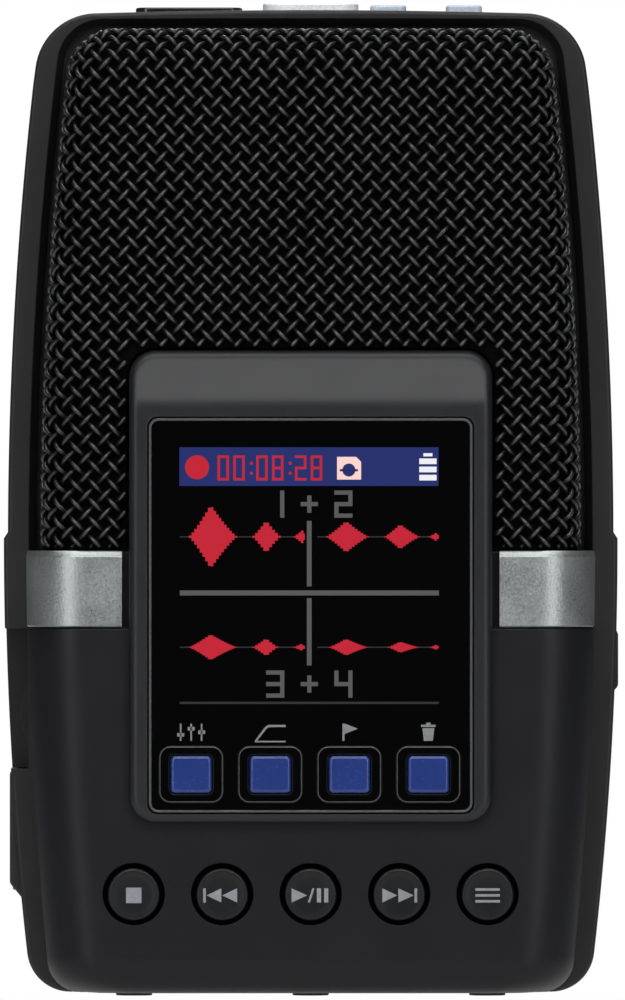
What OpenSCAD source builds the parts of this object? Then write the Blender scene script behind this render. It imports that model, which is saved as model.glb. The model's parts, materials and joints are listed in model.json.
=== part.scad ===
// Portable field recorder: four microphones behind woven grilles, a display in a raised
// surround, five round transport buttons, and two AA cells behind a sliding rear door.
// Millimetres. +Z up, +X to the user's right, the display faces -Y, the feet stand on z = 0.

/* [Body] */
// Width of the frame at its waist
frame_w = 67; // [66.5:0.1:67.5]
// Depth of the frame that shows as a rail round the outside
frame_d = 17; // [16.8:0.1:17.2]
// Height of the top of the frame above the surface it stands on
frame_top = 108.9; // [108.7:0.1:109.2]
// Height of the waist, where the sides are widest
waist_z = 50; // [49:0.5:51]
// Radius of the long side arcs
side_r = 460; // [440:10:500]
// How far the lower half of the frame stands out from the upper half
hip = 0.45; // [0.3:0.05:0.5]
// Radius of the side arcs of the lower half
hip_r = 400; // [390:5:420]
// Outer radius of the top corners
top_corner = 6.8; // [6.6:0.1:7]
// Outer radius of the bottom corners
bottom_corner = 4.8; // [4.6:0.1:5]
// Radius of the slightly crowned top
crown_r = 800; // [700:50:1000]
// Thickness of the frame at its sides
rail_t = 3.1; // [3:0.05:3.2]
// Thickness of the frame at its top
roof_t = 1.7; // [1.6:0.05:1.8]

/* [Shells] */
// Half width of the lower shells at the waist
shell_w = 31.4; // [31.3:0.1:31.6]
// Distance of the front shell's face from the middle plane
front_face = 19.6; // [19.5:0.1:19.7]
// Distance of the rear shell's face from the middle plane
rear_face = 21.5; // [21.4:0.1:21.6]
// Radius of the upright edges of the shells
shell_edge = 6.5; // [6.3:0.1:6.7]
// Radius of the lower edges of the shells
shell_foot = 4; // [3.8:0.1:4.2]
// Wall thickness of the shells
shell_t = 1.6; // [1.5:0.05:1.6]
// Height of the upper edge of the shells and the metal bands
band_top = 49.1; // [49:0.1:49.3]
// Height of the lower edge of the metal bands
band_bottom = 40.7; // [40.6:0.1:40.9]
// Thickness of the metal bands
band_t = 1.2; // [1.1:0.05:1.25]

/* [Grilles] */
// Half width of the grilles at the waist
grille_w = 29.9; // [29.7:0.1:30]
// Distance of the front grille's face from the middle plane
grille_front = 18.8; // [18.7:0.1:18.9]
// Distance of the rear grille's face from the middle plane
grille_rear = 20.7; // [20.6:0.1:20.8]
// Radius of the bulging edge of the grilles
grille_edge = 4.5; // [4.3:0.1:4.6]
// Thickness of the woven layer
grille_t = 0.9; // [0.8:0.05:1]
// Height of the top of the grilles
grille_top = 106.8; // [106.6:0.1:106.9]

/* [Display] */
// Width of the raised display surround
bezel_w = 40; // [39.8:0.1:40.2]
// Lower edge of the surround
bezel_bottom = 19.1; // [19:0.1:19.2]
// Upper edge of the surround
bezel_top = 71.2; // [71:0.1:71.4]
// Height where the surround's face turns back towards the grille
bezel_brow = 65.4; // [65.2:0.1:65.6]
// Distance of the surround's face from the middle plane
bezel_face = 21.3; // [21.2:0.1:21.4]
// Width of the display window
window_w = 35.8; // [35.6:0.1:35.9]
// Lower edge of the display window
window_bottom = 20.2; // [20.1:0.1:20.3]
// Upper edge of the display window
window_top = 63.8; // [63.6:0.1:63.9]

/* [Controls] */
// Distance between neighbouring transport buttons
button_pitch = 9.74; // [9.6:0.02:9.8]
// Height of the row of transport buttons
button_z = 11.3; // [11.2:0.1:11.4]
// Diameter of a transport button's cap
button_d = 5.75; // [5.6:0.05:5.9]
// Diameter of the hole that a transport button sits in
button_hole_d = 6.8; // [6.7:0.05:6.9]
// Travel of a transport button
button_travel = 0.6; // [0.4:0.1:0.6]
// Distance between neighbouring function keys
key_pitch = 8.7; // [8.6:0.05:8.75]
// Height of the row of function keys
key_z = 24.5; // [24.4:0.1:24.6]
// Width of a function key
key_w = 4.55; // [4.4:0.05:4.6]
// Height of a function key
key_h = 4.1; // [4:0.05:4.2]
// Travel of a function key
key_travel = 0.4; // [0.3:0.1:0.4]
// Diameter of the volume thumbwheel
wheel_d = 12; // [11.8:0.1:12]
// Height of the thumbwheel's axis
wheel_z = 31.3; // [31.2:0.1:31.4]

/* [Power and sockets] */
// Diameter of an AA cell
cell_d = 14.5; // [14.2:0.1:14.5]
// Length of an AA cell with its terminal
cell_l = 50.5; // [50:0.1:50.5]
// Depth of the cells' axes behind the middle plane
cell_y = 11.8; // [11.7:0.1:11.9]
// Diameter of the bore of the audio sockets
jack_bore_d = 3.6; // [3.5:0.05:3.7]
// Diameter of the tripod socket's bore
tripod_bore_d = 5.2; // [5:0.05:5.2]
// Depth of the tripod socket
tripod_depth = 7; // [6.5:0.1:7.2]

/* [Hidden] */
$fn = 48;

foot_h = 0.3;
body_w = frame_w / 2;
rail_y = frame_d / 2;
far = 60;                       // reach of a cutting block, past every side of the body
gap = 0.1;                      // running gap between neighbouring covers
arc_steps = 10;                 // straight pieces in a corner of an outline
grille_arc_steps = 4;           // the same for the grilles
side_steps = 10;                // straight pieces in a long side of an outline

// Lip inside the upper frame that the grilles rest on
lip_y0 = 4.8;
lip_y1 = 6;
lip_w = 2.1;

// Round button parts
flange_t = 0.8;
button_flange_d = 7.8;
button_front = 20.2;
button_back = front_face - shell_t - gap - flange_t;

// Boards
board_t = 1;
main_y = -7;                    // rear face of the main board
key_board_y = -14.6;            // front face of the key board
display_board_y = -16.4;        // rear face of the display board
chassis_y0 = 1.6;
chassis_y1 = 2.8;

// Window and function keys
window_y0 = 21;
window_y1 = 19.6;
key_back = 19;
ledge_t = 1;
ledge_w = 0.8;

// Cells, with their terminals towards opposite sides
cell_gap = 1.5;
lower_cell_z = 12;
upper_cell_z = lower_cell_z + cell_d + cell_gap;
contact_x = 26.6;
contact_t = 0.35;
nub_l = 1.3;
nub_d = 5.5;

// Rear door
door_w = 27.4;
door_top = 40.3;
door_back = 13.6;
rib_y = 15.5;                    // front of the ribs that the door runs on
door_t = 1.5;
door_grips = 5;

// Sockets on the left
jack_y = -4;
headphone_z = 21;
line_in_z = 14;
jack_face = 33;
jack_body_x = 28.4;
jack_l = 12;
jack_h = 6;
jack_depth = 13.5;
jack_barrel_d = 5;

// Sockets on the right
usb_z = 14.5;
usb_y = -5.4;
usb_w = 9;
usb_t = 3.2;
card_z = 27;
card_w = 14;
card_y = -6.05;
card_t = 1.9;

// Side cover over them, hinged along its rear edge
cover_z0 = 10;
cover_z1 = 32;
cover_t = 1.1;
cover_y0 = -7.6;
cover_pin_y = 6;
cover_pin_x = 0.6;              // depth of the hinge line below the outer surface
cover_pin_r = 0.35;
cover_barrel_r = 0.55;
cover_pin_l = 0.8;

// Power slider
slider_z0 = 33.6;
slider_z1 = 40.3;
slider_out = 34.1;
slider_y = 2.3;
slider_travel = 2.5;
slider_pocket = 0.9;

// Volume wheel
wheel_y0 = -5;
wheel_y1 = -2;
wheel_x = -26.2;
wheel_floor = 31.2;
wheel_clear = 0.3;
notches = 30;
recess_z0 = 25;
recess_z1 = 40.5;
recess_y1 = 3.5;

// Top controls
record_w = 10.6;
record_d = 5.6;
top_key_w = 4;
top_key_d = 4;
front_mic_x = 8.6;
rear_mic_x = 17;
top_travel = 0.6;
top_flange = 0.5;                // how far the flange stands out under the roof
cap_bottom = 104.8;
flange_bottom = 106;
lamp_x0 = -19.4;
lamp_x1 = -7.6;
lamp_d = 3.2;
top_board_z = 102.4;
top_post_x = 22.6;

// Screws
lug_x = 24.5;
lug_front_y = -12;
lug_rear_y = 11;
screw_r = 1;
screw_head_r = 1.9;
small_screw_r = 0.6;
small_head_r = 1.3;

// Places of the board screws: main board, key board
main_posts = [[-24, 42], [24, 46], [-12, 7], [12, 7]];
key_posts = [for (x = [-1.5, 1.5]) for (z = [6.2, 16.4]) [x * button_pitch, z]];

// Microphone capsules
mic_d = 9.6;
mic_l = 5.5;
mic_z = 90;
mic_x = 7.6;
mic_y = 6.6;
mic_turn = 45;

tripod_y = -3.2;
tripod_outer_r = 3.9;
boss_r = 4.6;
feet_x = 19.5;

// Half width at height z of an arc of radius r that is w wide at the waist
function arc_x(w, r, z) = w - r + sqrt(r * r - (z - waist_z) * (z - waist_z));

// Points of an arc from angle a0 to a1
function arc(cx, cz, r, a0, a1, n) =
    [for (i = [0:n]) let (a = a0 + (a1 - a0) * i / n) [cx + r * cos(a), cz + r * sin(a)]];

// Right half of the body's outline, from the bottom to the top, with long side arcs
function right_side(w, r, z0, z1, rb, rt, crown, steps) =
    let (
        cb = w - r + sqrt(pow(r - rb, 2) - pow(z0 + rb - waist_z, 2)),
        ct = w - r + sqrt(pow(r - rt, 2) - pow(z1 - rt - waist_z, 2)),
        drop = crown > 0 ? ct * ct / (2 * crown) : 0,
        ab = asin((z0 + rb - waist_z) / (r - rb)),
        at = asin((z1 - drop - rt - waist_z) / (r - rt))
    )
    concat(
        arc(cb, z0 + rb, rb, -90, ab, steps),
        [for (i = [1:side_steps - 1]) let (a = ab + (at - ab) * i / side_steps)
            [w - r + r * cos(a), waist_z + r * sin(a)]],
        arc(ct, z1 - drop - rt, rt, at, 90, steps),
        crown > 0 ? [for (i = [1:3]) let (x = ct * (1 - i / 4)) [x, z1 - x * x / (2 * crown)]] : []
    );

// The whole outline: the right half and its mirror image
module outline(w, r, z0, z1, rb, rt, crown = 0, steps = arc_steps) {
    half = right_side(w, r, z0, z1, rb, rt, crown, steps);
    other = [for (i = [len(half) - 1:-1:0]) [-half[i][0], half[i][1]]];
    polygon(concat(half, other));
}

module frame_outline() {
    outline(body_w, side_r, foot_h, frame_top, bottom_corner, top_corner, crown_r);
    outline(body_w + hip, hip_r, foot_h, waist_z + 0.8, bottom_corner, 0.6);
}

module inner_outline(inset = 0) {
    outline(body_w - rail_t - inset, side_r, foot_h + rail_t + inset,
        frame_top - roof_t - inset, 0.6, top_corner - 2.6 - inset / 2);
}

// Extrudes an (x, z) shape from y0 to y1
module along_y(y0, y1)
    translate([0, y1, 0])
        rotate([90, 0, 0])
            linear_extrude(height = y1 - y0)
                children();

// Extrudes a (y, z) shape from x0 to x1
module along_x(x0, x1)
    translate([x0, 0, 0])
        rotate([90, 0, 90])
            linear_extrude(height = x1 - x0)
                children();

module box(x0, x1, y0, y1, z0, z1)
    translate([x0, y0, z0])
        cube([x1 - x0, y1 - y0, z1 - z0]);

module rod_y(x, z, r, y0, y1)
    translate([x, y1, z])
        rotate([90, 0, 0])
            cylinder(r = r, h = y1 - y0);

module rod_x(y, z, r, x0, x1)
    translate([x0, y, z])
        rotate([0, 90, 0])
            cylinder(r = r, h = x1 - x0);

module rounded(w, h, r) {
    square([w - 2 * r, h], center = true);
    square([w, h - 2 * r], center = true);
    for (x = [-1, 1])
        for (z = [-1, 1])
            translate([x * (w / 2 - r), z * (h / 2 - r)])
                circle(r);
}

// Wheel-like sector whose rim is one long side: the rim's upright edge has radius edge
module long_side(w, face, edge)
    translate([w - side_r, 0, waist_z])
        rotate([-90, 0, 0])
            rotate_extrude(angle = 18, start = -9, $fn = 960)
                difference() {
                    translate([side_r - 80, 0])
                        square([80, face]);
                    difference() {
                        translate([side_r - edge, face - edge])
                            square([edge + 1, edge + 1]);
                        translate([side_r - edge, face - edge])
                            circle(edge, $fn = 48);
                    }
                }

// Rear half of a pillow: arched sides, rounded upright edges, rounded lower or upper edge
module pillow(w, face, edge, z0, z1, r0 = 0, r1 = 0)
    intersection() {
        long_side(w, face, edge);
        mirror([1, 0, 0])
            long_side(w, face, edge);
        along_x(-far, far)
            difference() {
                translate([0, z0])
                    square([face, z1 - z0]);
                if (r0 > 0)
                    difference() {
                        translate([face - r0, z0 - 1])
                            square([r0 + 1, r0 + 1]);
                        translate([face - r0, z0 + r0])
                            circle(r0);
                    }
                if (r1 > 0)
                    difference() {
                        translate([face - r1, z1 - r1])
                            square([r1 + 1, r1 + 1]);
                        translate([face - r1, z1 - r1])
                            circle(r1);
                    }
            }
    }

// Lower shell solid, inset by t on every side and cut off at height z1
module shell_solid(face, t, z1)
    pillow(shell_w - t, face - t, shell_edge - t, foot_h + t, z1, shell_foot - t);

// Open lower shell, with a step for the metal band
module lower_shell(face)
    difference() {
        union() {
            shell_solid(face, 0, band_bottom - gap);
            shell_solid(face, band_t + gap, band_top);
        }
        shell_solid(face, shell_t + band_t + gap, band_top + 1);
        shell_solid(face, shell_t, band_bottom - 1.4);
        box(-far, far, -1, rail_y, -1, far);
        foot_corners();
    }

// What the rounded lower corners take away from a shell
module foot_corners()
    for (side = [0, 1])
        mirror([side, 0, 0])
            along_y(0, far)
                polygon([
                    [26.2, -1], [26.2, foot_h], [27.7, 0.8], [28.7, 1.9], [29.2, 3.8], [35, 3.8], [35, -1]
                ]);

// Bulging grille form inset by t: a stack of outlines that shrink towards the face
module grille_solid(face, t)
    intersection() {
        hull()
            for (a = [0:18:90])
                let (pull = grille_edge * (1 - cos(a)) + t)
                    along_y(0, max(face - t - grille_edge * (1 - sin(a)), 0.1))
                        outline(grille_w - pull, side_r, 20, grille_top - pull, 0.6,
                            max(grille_edge + 0.2 - pull, 0.6), 0, grille_arc_steps);
        box(-far, far, -1, far, band_top + gap, frame_top);
    }

// Skin of a grille from its rim on the frame's lip to its face
module grille(face)
    difference() {
        grille_solid(face, 0);
        translate([0, 0, -1])
            grille_solid(face, grille_t);
        grille_solid(face, grille_t);
        box(-far, far, -1, lip_y1, 0, 120);
    }

module foam(face)
    difference() {
        grille_solid(face, grille_t + 0.2);
        translate([0, 0, -3])
            grille_solid(face, grille_t + 1.7);
        grille_solid(face, grille_t + 1.7);
        box(-far, far, -1, rail_y, 0, 120);
    }

// Metal band round a lower shell, with a bevelled upper edge
module band(face)
    intersection() {
        difference() {
            shell_solid(face, 0, band_top);
            shell_solid(face, band_t, band_top + 1);
            box(-far, far, -1, rail_y + gap, -1, 120);
        }
        box(-far, far, -far, far, band_bottom, band_top);
    }

module front_band(side)
    color([0.62, 0.65, 0.65])
        intersection() {
            mirror([0, 1, 0])
                band(front_face);
            if (side > 0)
                box(bezel_w / 2 + 0.8, far, -far, far, 0, far);
            else
                box(-far, -bezel_w / 2 - 0.8, -far, far, 0, far);
        }

module center_frame()
    color([0.17, 0.17, 0.18])
        difference() {
            union() {
                along_y(-rail_y, rail_y)
                    difference() {
                        frame_outline();
                        inner_outline();
                    }
                for (y0 = [-lip_y1, lip_y0])
                    along_y(y0, y0 + lip_y1 - lip_y0)
                        difference() {
                            inner_outline(-0.5);
                            inner_outline(lip_w);
                            translate([-far, 0])
                                square([2 * far, band_top]);
                        }
                translate([0, tripod_y, foot_h])
                    cylinder(r = boss_r, h = tripod_depth + 1.2);
                for (x = [-lug_x, lug_x]) {
                    box(x - 2.6, x + 2.6, lug_front_y - 1.4, -rail_y + 0.5, 2, 6.5);
                    box(x - 2.6, x + 2.6, rail_y - 0.5, lug_rear_y + 2.3, 2, foot_h + rail_t);
                }
                jack_pad();
                for (x = [-top_post_x, top_post_x])
                    translate([x, 0, top_board_z])
                        cylinder(r = 1.5, h = frame_top - roof_t - top_board_z + 0.5);
            }
            translate([0, tripod_y, -1])
                cylinder(r = tripod_outer_r, h = tripod_depth + 1 + foot_h);
            for (x = [-lug_x, lug_x]) {
                translate([x, lug_front_y, 0])
                    cylinder(r = screw_r, h = 6);
                translate([x, lug_rear_y, 0])
                    cylinder(r = screw_r, h = 3.2);
            }
            for (z = [headphone_z, line_in_z])
                rod_x(jack_y, z, jack_barrel_d / 2 + gap, -far, -20);
            wheel_recess();
            usb_card_recess();
            slider_recess();
            strap_channel();
            top_openings();
        }

// Raised pad round the two audio sockets
module jack_pad()
    along_y(-rail_y + 1, rail_y - 1)
        polygon([
            [-30.6, 10.6], [-31.9, 10.6], [-jack_face - 0.3, 12.3], [-jack_face - 0.3, 24.6],
            [-jack_face + 0.2, 25], [-31, 25]
        ]);

module wheel_recess() {
    box(-far, -wheel_floor, -far, recess_y1, recess_z0, recess_z1);
    rod_y(wheel_x, wheel_z, wheel_d / 2 + wheel_clear, wheel_y0 - wheel_clear, wheel_y1 + wheel_clear);
}

module usb_card_recess() {
    along_y(cover_y0 - 0.15, cover_pin_y + 0.8)
        difference() {
            translate([25, cover_z0 - 0.1])
                square([20, cover_z1 - cover_z0 + 0.2]);
            outline(body_w + hip - cover_t - 0.25, hip_r, foot_h, waist_z, 1, 1);
        }
    cover_axis_place()
        cylinder(r = cover_pin_r + 0.05, h = cover_len() + 2 * cover_pin_l + 0.4, center = true);
    along_x(20, far)
        translate([usb_y, usb_z])
            rounded(usb_t + 0.5, usb_w + 0.5, 1.5);
    box(20, far, card_y - card_t / 2 - 0.05, card_y + card_t / 2 + 0.2,
        card_z - card_w / 2 + 0.8, card_z + card_w / 2 - 0.8);
}

// Hinge line of the side cover: a straight line under the arched side
function cover_x(z) = arc_x(body_w + hip, hip_r, z) - cover_pin_x;
function cover_len() = norm([cover_x(cover_z1) - cover_x(cover_z0), cover_z1 - cover_z0]);
function cover_tilt() = atan2(cover_x(cover_z1) - cover_x(cover_z0), cover_z1 - cover_z0);

module cover_axis_place()
    translate([(cover_x(cover_z0) + cover_x(cover_z1)) / 2, cover_pin_y, (cover_z0 + cover_z1) / 2])
        rotate([0, cover_tilt(), 0])
            children();

module side_cover()
    color([0.13, 0.13, 0.14]) {
        difference() {
            along_y(cover_y0, cover_pin_y)
                intersection() {
                    translate([25, cover_z0 + gap])
                        square([20, cover_z1 - cover_z0 - 2 * gap]);
                    difference() {
                        outline(body_w + hip, hip_r, foot_h, waist_z, 1, 1);
                        outline(body_w + hip - cover_t, hip_r, foot_h, waist_z, 1, 1);
                    }
                }
            box(25, far, cover_pin_y - 0.1, cover_pin_y + 1, 0, far);
            box(31, far, cover_y0 - 1, cover_y0 + 0.7, 19, 23);
        }
        cover_axis_place()
            cylinder(r = cover_barrel_r, h = cover_len() - 2 * gap - 0.2, center = true);
        cover_axis_place()
            cylinder(r = cover_pin_r, h = cover_len() + 2 * cover_pin_l, center = true);
    }

module slider_recess() {
    along_y(-slider_y - 0.2, slider_y + 0.2)
        difference() {
            translate([25, slider_z0 - 0.2])
                square([20, slider_z1 - slider_z0 + slider_travel + 0.4]);
            outline(body_w + hip - slider_pocket, hip_r, foot_h, waist_z, 1, 1);
        }
    box(25, far, -1, 1, 36, 38 + slider_travel);
}

// Two small openings joined inside, which leave a bar for a wrist strap's loop
module strap_channel() {
    x_out = arc_x(body_w + hip, hip_r, 7);
    for (z = [4.6, 7.6])
        box(x_out - 2.4, far, -2, 2, z, z + 1.7);
    box(x_out - 2.4, x_out - 1.1, -2, 2, 4.6, 9.3);
}

module top_openings()
    translate([0, 0, 90]) {
        linear_extrude(height = 40)
            rounded(record_w + 2 * gap, record_d + 2 * gap, 2.4);
        for (x = [front_mic_x, rear_mic_x])
            translate([x, 0, 0])
                linear_extrude(height = 40)
                    rounded(top_key_w + 2 * gap, top_key_d + 2 * gap, 1);
        translate([(lamp_x0 + lamp_x1) / 2, 0, 0])
            linear_extrude(height = 40)
                rounded(lamp_x1 - lamp_x0, lamp_d, 1.5);
    }

module front_shell()
    color([0.14, 0.14, 0.15])
        difference() {
            union() {
                mirror([0, 1, 0])
                    lower_shell(front_face);
                for (p = key_posts)
                    rod_y(p[0], p[1], 1.5, -front_face + 0.8, key_board_y);
            }
            for (i = [-2:2])
                rod_y(i * button_pitch, button_z, button_hole_d / 2, -far, -16);
            for (p = key_posts)
                rod_y(p[0], p[1], small_screw_r, key_board_y - 2, 0);
            along_y(-far, 0)
                translate([0, (bezel_bottom + bezel_top) / 2])
                    rounded(bezel_w - 1.2, bezel_top - bezel_bottom - 1.2, 2.4);
            for (x = [-lug_x, lug_x])
                screw_hole(x, lug_front_y);
        }

module screw_hole(x, y) {
    translate([x, y, -1])
        cylinder(r = screw_r + gap, h = 4);
    translate([x, y, -1])
        cylinder(r = screw_head_r + gap, h = 2.1);
}

module door_space()
    difference() {
        box(-door_w - gap, door_w + gap, door_back - gap, far, -1, door_top + gap);
        shell_solid(rear_face, door_t + 0.15, 60);
    }

module rear_shell()
    color([0.14, 0.14, 0.15])
        difference() {
            union() {
                lower_shell(rear_face);
                for (x = [-1, 1])
                    intersection() {
                        difference() {
                            shell_solid(rear_face, shell_t - 0.2, band_bottom - 1.4);
                            shell_solid(rear_face, shell_t + 1.3, band_top);
                        }
                        box(x > 0 ? 26.2 : -28.6, x > 0 ? 28.6 : -26.2, rib_y, far, 3, 39.4);
                    }
            }
            door_space();
            box(-26.2, 26.2, door_back - gap, far, -1, 39);
            for (x = [-lug_x, lug_x])
                screw_hole(x, lug_rear_y);
        }

module battery_door()
    color([0.14, 0.14, 0.15])
        difference() {
            intersection() {
                difference() {
                    shell_solid(rear_face, 0, door_top);
                    shell_solid(rear_face, door_t, door_top + 1);
                }
                box(-door_w, door_w, door_back, far, 0, door_top);
            }
            foot_corners();
            for (i = [0:door_grips - 1])
                rod_x(rear_face + 0.55, 31 + 1.6 * i, 0.9, -8, 8);
        }

module inner_chassis()
    color([0.22, 0.22, 0.23]) {
        difference() {
            along_y(chassis_y0, chassis_y1)
                intersection() {
                    inner_outline();
                    translate([-far, foot_h + rail_t])
                        square([2 * far, 72]);
                }
            rod_y(0, 62, 7, 0, 5);
        }
        for (p = main_posts)
            difference() {
                rod_y(p[0], p[1], 2, main_y, chassis_y0);
                rod_y(p[0], p[1], small_screw_r, main_y - 1, main_y + 4);
            }
    }

module battery_tray()
    color([0.1, 0.1, 0.11])
        intersection() {
            difference() {
                box(-30, 30, chassis_y1, rib_y - gap, 3.5, 36.8);
                box(-contact_x - contact_t, contact_x + contact_t, 4.2, far, 4.6, 35.7);
                box(-30, 30, 13.8, far, 4.6, 35.7);
            }
            shell_solid(rear_face, shell_t + 0.15, 60);
        }

// One AA cell; its terminal touches the contact at that end
module cell(z, side)
    mirror([side > 0 ? 0 : 1, 0, 0]) {
        color([0.2, 0.3, 0.28])
            rod_x(cell_y, z, cell_d / 2, contact_x - cell_l, contact_x - nub_l);
        color([0.8, 0.8, 0.8])
            rod_x(cell_y, z, nub_d / 2, contact_x - nub_l, contact_x);
    }

module upper_cell()
    cell(upper_cell_z, 1);

module lower_cell()
    cell(lower_cell_z, -1);

// Compressed conical springs: three rings, each smaller than the one before
module battery_springs()
    color([0.8, 0.8, 0.78])
        for (s = [[upper_cell_z, -1], [lower_cell_z, 1]])
            mirror([s[1] > 0 ? 0 : 1, 0, 0])
                translate([contact_x, cell_y, s[0]])
                    rotate([0, -90, 0])
                        for (i = [0:2])
                            translate([0, 0, 0.45 + 0.9 * i])
                                rotate_extrude()
                                    translate([3.4 - 0.5 * i, 0])
                                        circle(r = 0.45);

module battery_contacts()
    color([0.8, 0.8, 0.78])
        for (z = [upper_cell_z, lower_cell_z])
            for (x = [-contact_x - contact_t, contact_x])
                box(x, x + contact_t, cell_y - 4, cell_y + 1.9, z - 4, z + 4);

module tripod_insert()
    color([0.75, 0.62, 0.3])
        translate([0, tripod_y, foot_h])
            difference() {
                cylinder(r = tripod_outer_r, h = tripod_depth);
                translate([0, 0, -1])
                    cylinder(r = tripod_bore_d / 2, h = tripod_depth + 2);
            }

module feet()
    color([0.1, 0.1, 0.1])
        for (x = [-feet_x, 0, feet_x])
            for (y = [lug_front_y, lug_rear_y])
                translate([x, y, 0])
                    cylinder(r = 2, h = foot_h);

module case_screws()
    color([0.35, 0.35, 0.36])
        for (x = [-lug_x, lug_x])
            for (y = [lug_front_y, lug_rear_y])
                translate([x, y, 0])
                    difference() {
                        union() {
                            translate([0, 0, 0.4])
                                cylinder(r = screw_head_r, h = 0.7);
                            translate([0, 0, 1])
                                cylinder(r = screw_r, h = y < 0 ? 4.5 : 2.1);
                        }
                        for (a = [0, 90])
                            rotate([0, 0, a])
                                translate([-1.1, -0.2, 0])
                                    cube([2.2, 0.4, 0.7]);
                    }

module bezel_side()
    polygon([
        [-bezel_face, bezel_bottom + 0.6], [-bezel_face, bezel_brow], [-grille_front - 0.3, bezel_top],
        [-17.2, bezel_top], [-17.2, band_top + 0.2], [-front_face, band_top + 0.2],
        [-front_face, bezel_bottom], [-bezel_face + 0.6, bezel_bottom]
    ]);

module bezel()
    color([0.24, 0.24, 0.25])
        difference() {
            union() {
                intersection() {
                    along_x(-bezel_w / 2, bezel_w / 2)
                        bezel_side();
                    along_y(-far, 0)
                        translate([0, (bezel_bottom + bezel_top) / 2])
                            rounded(bezel_w, bezel_top - bezel_bottom, 3);
                    translate([0, 0, -1])
                        linear_extrude(height = 120)
                            polygon([
                                [-bezel_w / 2, 0], [-bezel_w / 2, -bezel_face + 1],
                                [-bezel_w / 2 + 1, -bezel_face], [bezel_w / 2 - 1, -bezel_face],
                                [bezel_w / 2, -bezel_face + 1], [bezel_w / 2, 0]
                            ]);
                }
                along_y(-front_face - 0.5, -15)
                    translate([0, (bezel_bottom + bezel_top) / 2 - 0.05])
                        rounded(bezel_w - 1.6, bezel_top - bezel_bottom - 1.7, 2.2);
            }
            along_y(-far, -window_y1)
                translate([0, (window_bottom + window_top) / 2])
                    rounded(window_w + 0.1, window_top - window_bottom + 0.1, 1.1);
            box(-window_w / 2 + ledge_w, window_w / 2 - ledge_w, -far, 0,
                window_bottom + ledge_w, window_top - ledge_w);
            box(-window_w / 2 - 0.1, window_w / 2 + 0.1, -window_y1 + ledge_t, 0,
                window_bottom + 0.5, bezel_top - 5);
        }

function key_x(i) = (i - 2.5) * key_pitch - 0.1;

module display_window()
    color([0.04, 0.04, 0.05])
        difference() {
            union() {
                along_y(-window_y0, -window_y1)
                    translate([0, (window_bottom + window_top) / 2])
                        rounded(window_w, window_top - window_bottom, 1.05);
                for (i = [1:4])
                    along_y(-window_y0 - 0.3, -window_y1)
                        translate([key_x(i), key_z])
                            rounded(key_w + 2.4, key_h + 2, 1.2);
            }
            for (i = [1:4])
                along_y(-far, 0)
                    translate([key_x(i), key_z])
                        rounded(key_w + 2 * gap, key_h + 2 * gap, 0.6);
        }

module function_key(i)
    color([0.13, 0.22, 0.58]) {
        along_y(-rear_face, -19.3)
            translate([key_x(i), key_z])
                rounded(key_w, key_h, 0.5);
        along_y(-window_y1 + gap, -key_back)
            translate([key_x(i), key_z])
                rounded(key_w + 1, key_h + 1, 0.6);
    }

module display_module()
    color([0.05, 0.05, 0.06])
        box(-16.6, 16.6, -19.5, display_board_y - board_t, 29.5, 62.6);

module display_board()
    color([0.1, 0.3, 0.18])
        box(-17.7, 17.7, display_board_y - board_t, display_board_y, 21, 65);

module function_switches()
    color([0.6, 0.6, 0.6])
        for (i = [1:4]) {
            box(key_x(i) - 1.6, key_x(i) + 1.6, -18, display_board_y - board_t, key_z - 1.6, key_z + 1.6);
            rod_y(key_x(i), key_z, 0.8, -key_back + key_travel + gap, -17.9);
        }

// Room for the display surround in the front grille and its foam
module display_notch(clear)
    along_y(-far, -rail_y - 0.5)
        translate([0, (bezel_bottom + bezel_top) / 2])
            rounded(bezel_w + 2 * clear, bezel_top - bezel_bottom + 2 * clear, 3 + clear);

module front_grille()
    color([0.06, 0.06, 0.06])
        difference() {
            mirror([0, 1, 0])
                grille(grille_front);
            display_notch(gap);
        }

module rear_grille()
    color([0.06, 0.06, 0.06])
        grille(grille_rear);

module front_foam()
    color([0.04, 0.04, 0.04])
        difference() {
            mirror([0, 1, 0])
                foam(grille_front);
            display_notch(0.3);
        }

module rear_foam()
    color([0.04, 0.04, 0.04])
        foam(grille_rear);

module front_band_left()
    front_band(-1);

module front_band_right()
    front_band(1);

module rear_band()
    color([0.62, 0.65, 0.65])
        band(rear_face);

module speaker()
    color([0.15, 0.15, 0.15]) {
        rod_y(0, 62, 10, chassis_y1, chassis_y1 + 3);
        rod_y(0, 62, 6.8, chassis_y0 - 1, chassis_y1 + 0.5);
    }

module main_board()
    color([0.1, 0.3, 0.18])
        difference() {
            along_y(main_y - board_t, main_y)
                polygon([[-26, 5], [26, 5], [28.2, 26], [28.2, 58], [-28.2, 58], [-28.2, 26]]);
            box(-5.4, 5.4, -20, 0, 0, 9.4);
            for (p = main_posts)
                rod_y(p[0], p[1], small_screw_r, main_y - 2, main_y + 1);
        }

module main_chips()
    color([0.08, 0.08, 0.08]) {
        box(-6, 6, main_y - board_t - 1, main_y - board_t, 28, 40);
        box(10, 18, main_y - board_t - 0.9, main_y - board_t, 30, 38);
        box(-18, -10, main_y - board_t - 1.2, main_y - board_t, 44, 54);
    }

module board_screws()
    color([0.6, 0.6, 0.6]) {
        for (p = main_posts) {
            rod_y(p[0], p[1], small_head_r, main_y - board_t - 0.8, main_y - board_t);
            rod_y(p[0], p[1], small_screw_r, main_y - board_t - 0.5, main_y + 3);
        }
        for (p = key_posts) {
            rod_y(p[0], p[1], small_head_r, key_board_y + board_t, key_board_y + board_t + 0.8);
            rod_y(p[0], p[1], small_screw_r, key_board_y - 1.6, key_board_y + board_t + 0.5);
        }
    }

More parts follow.
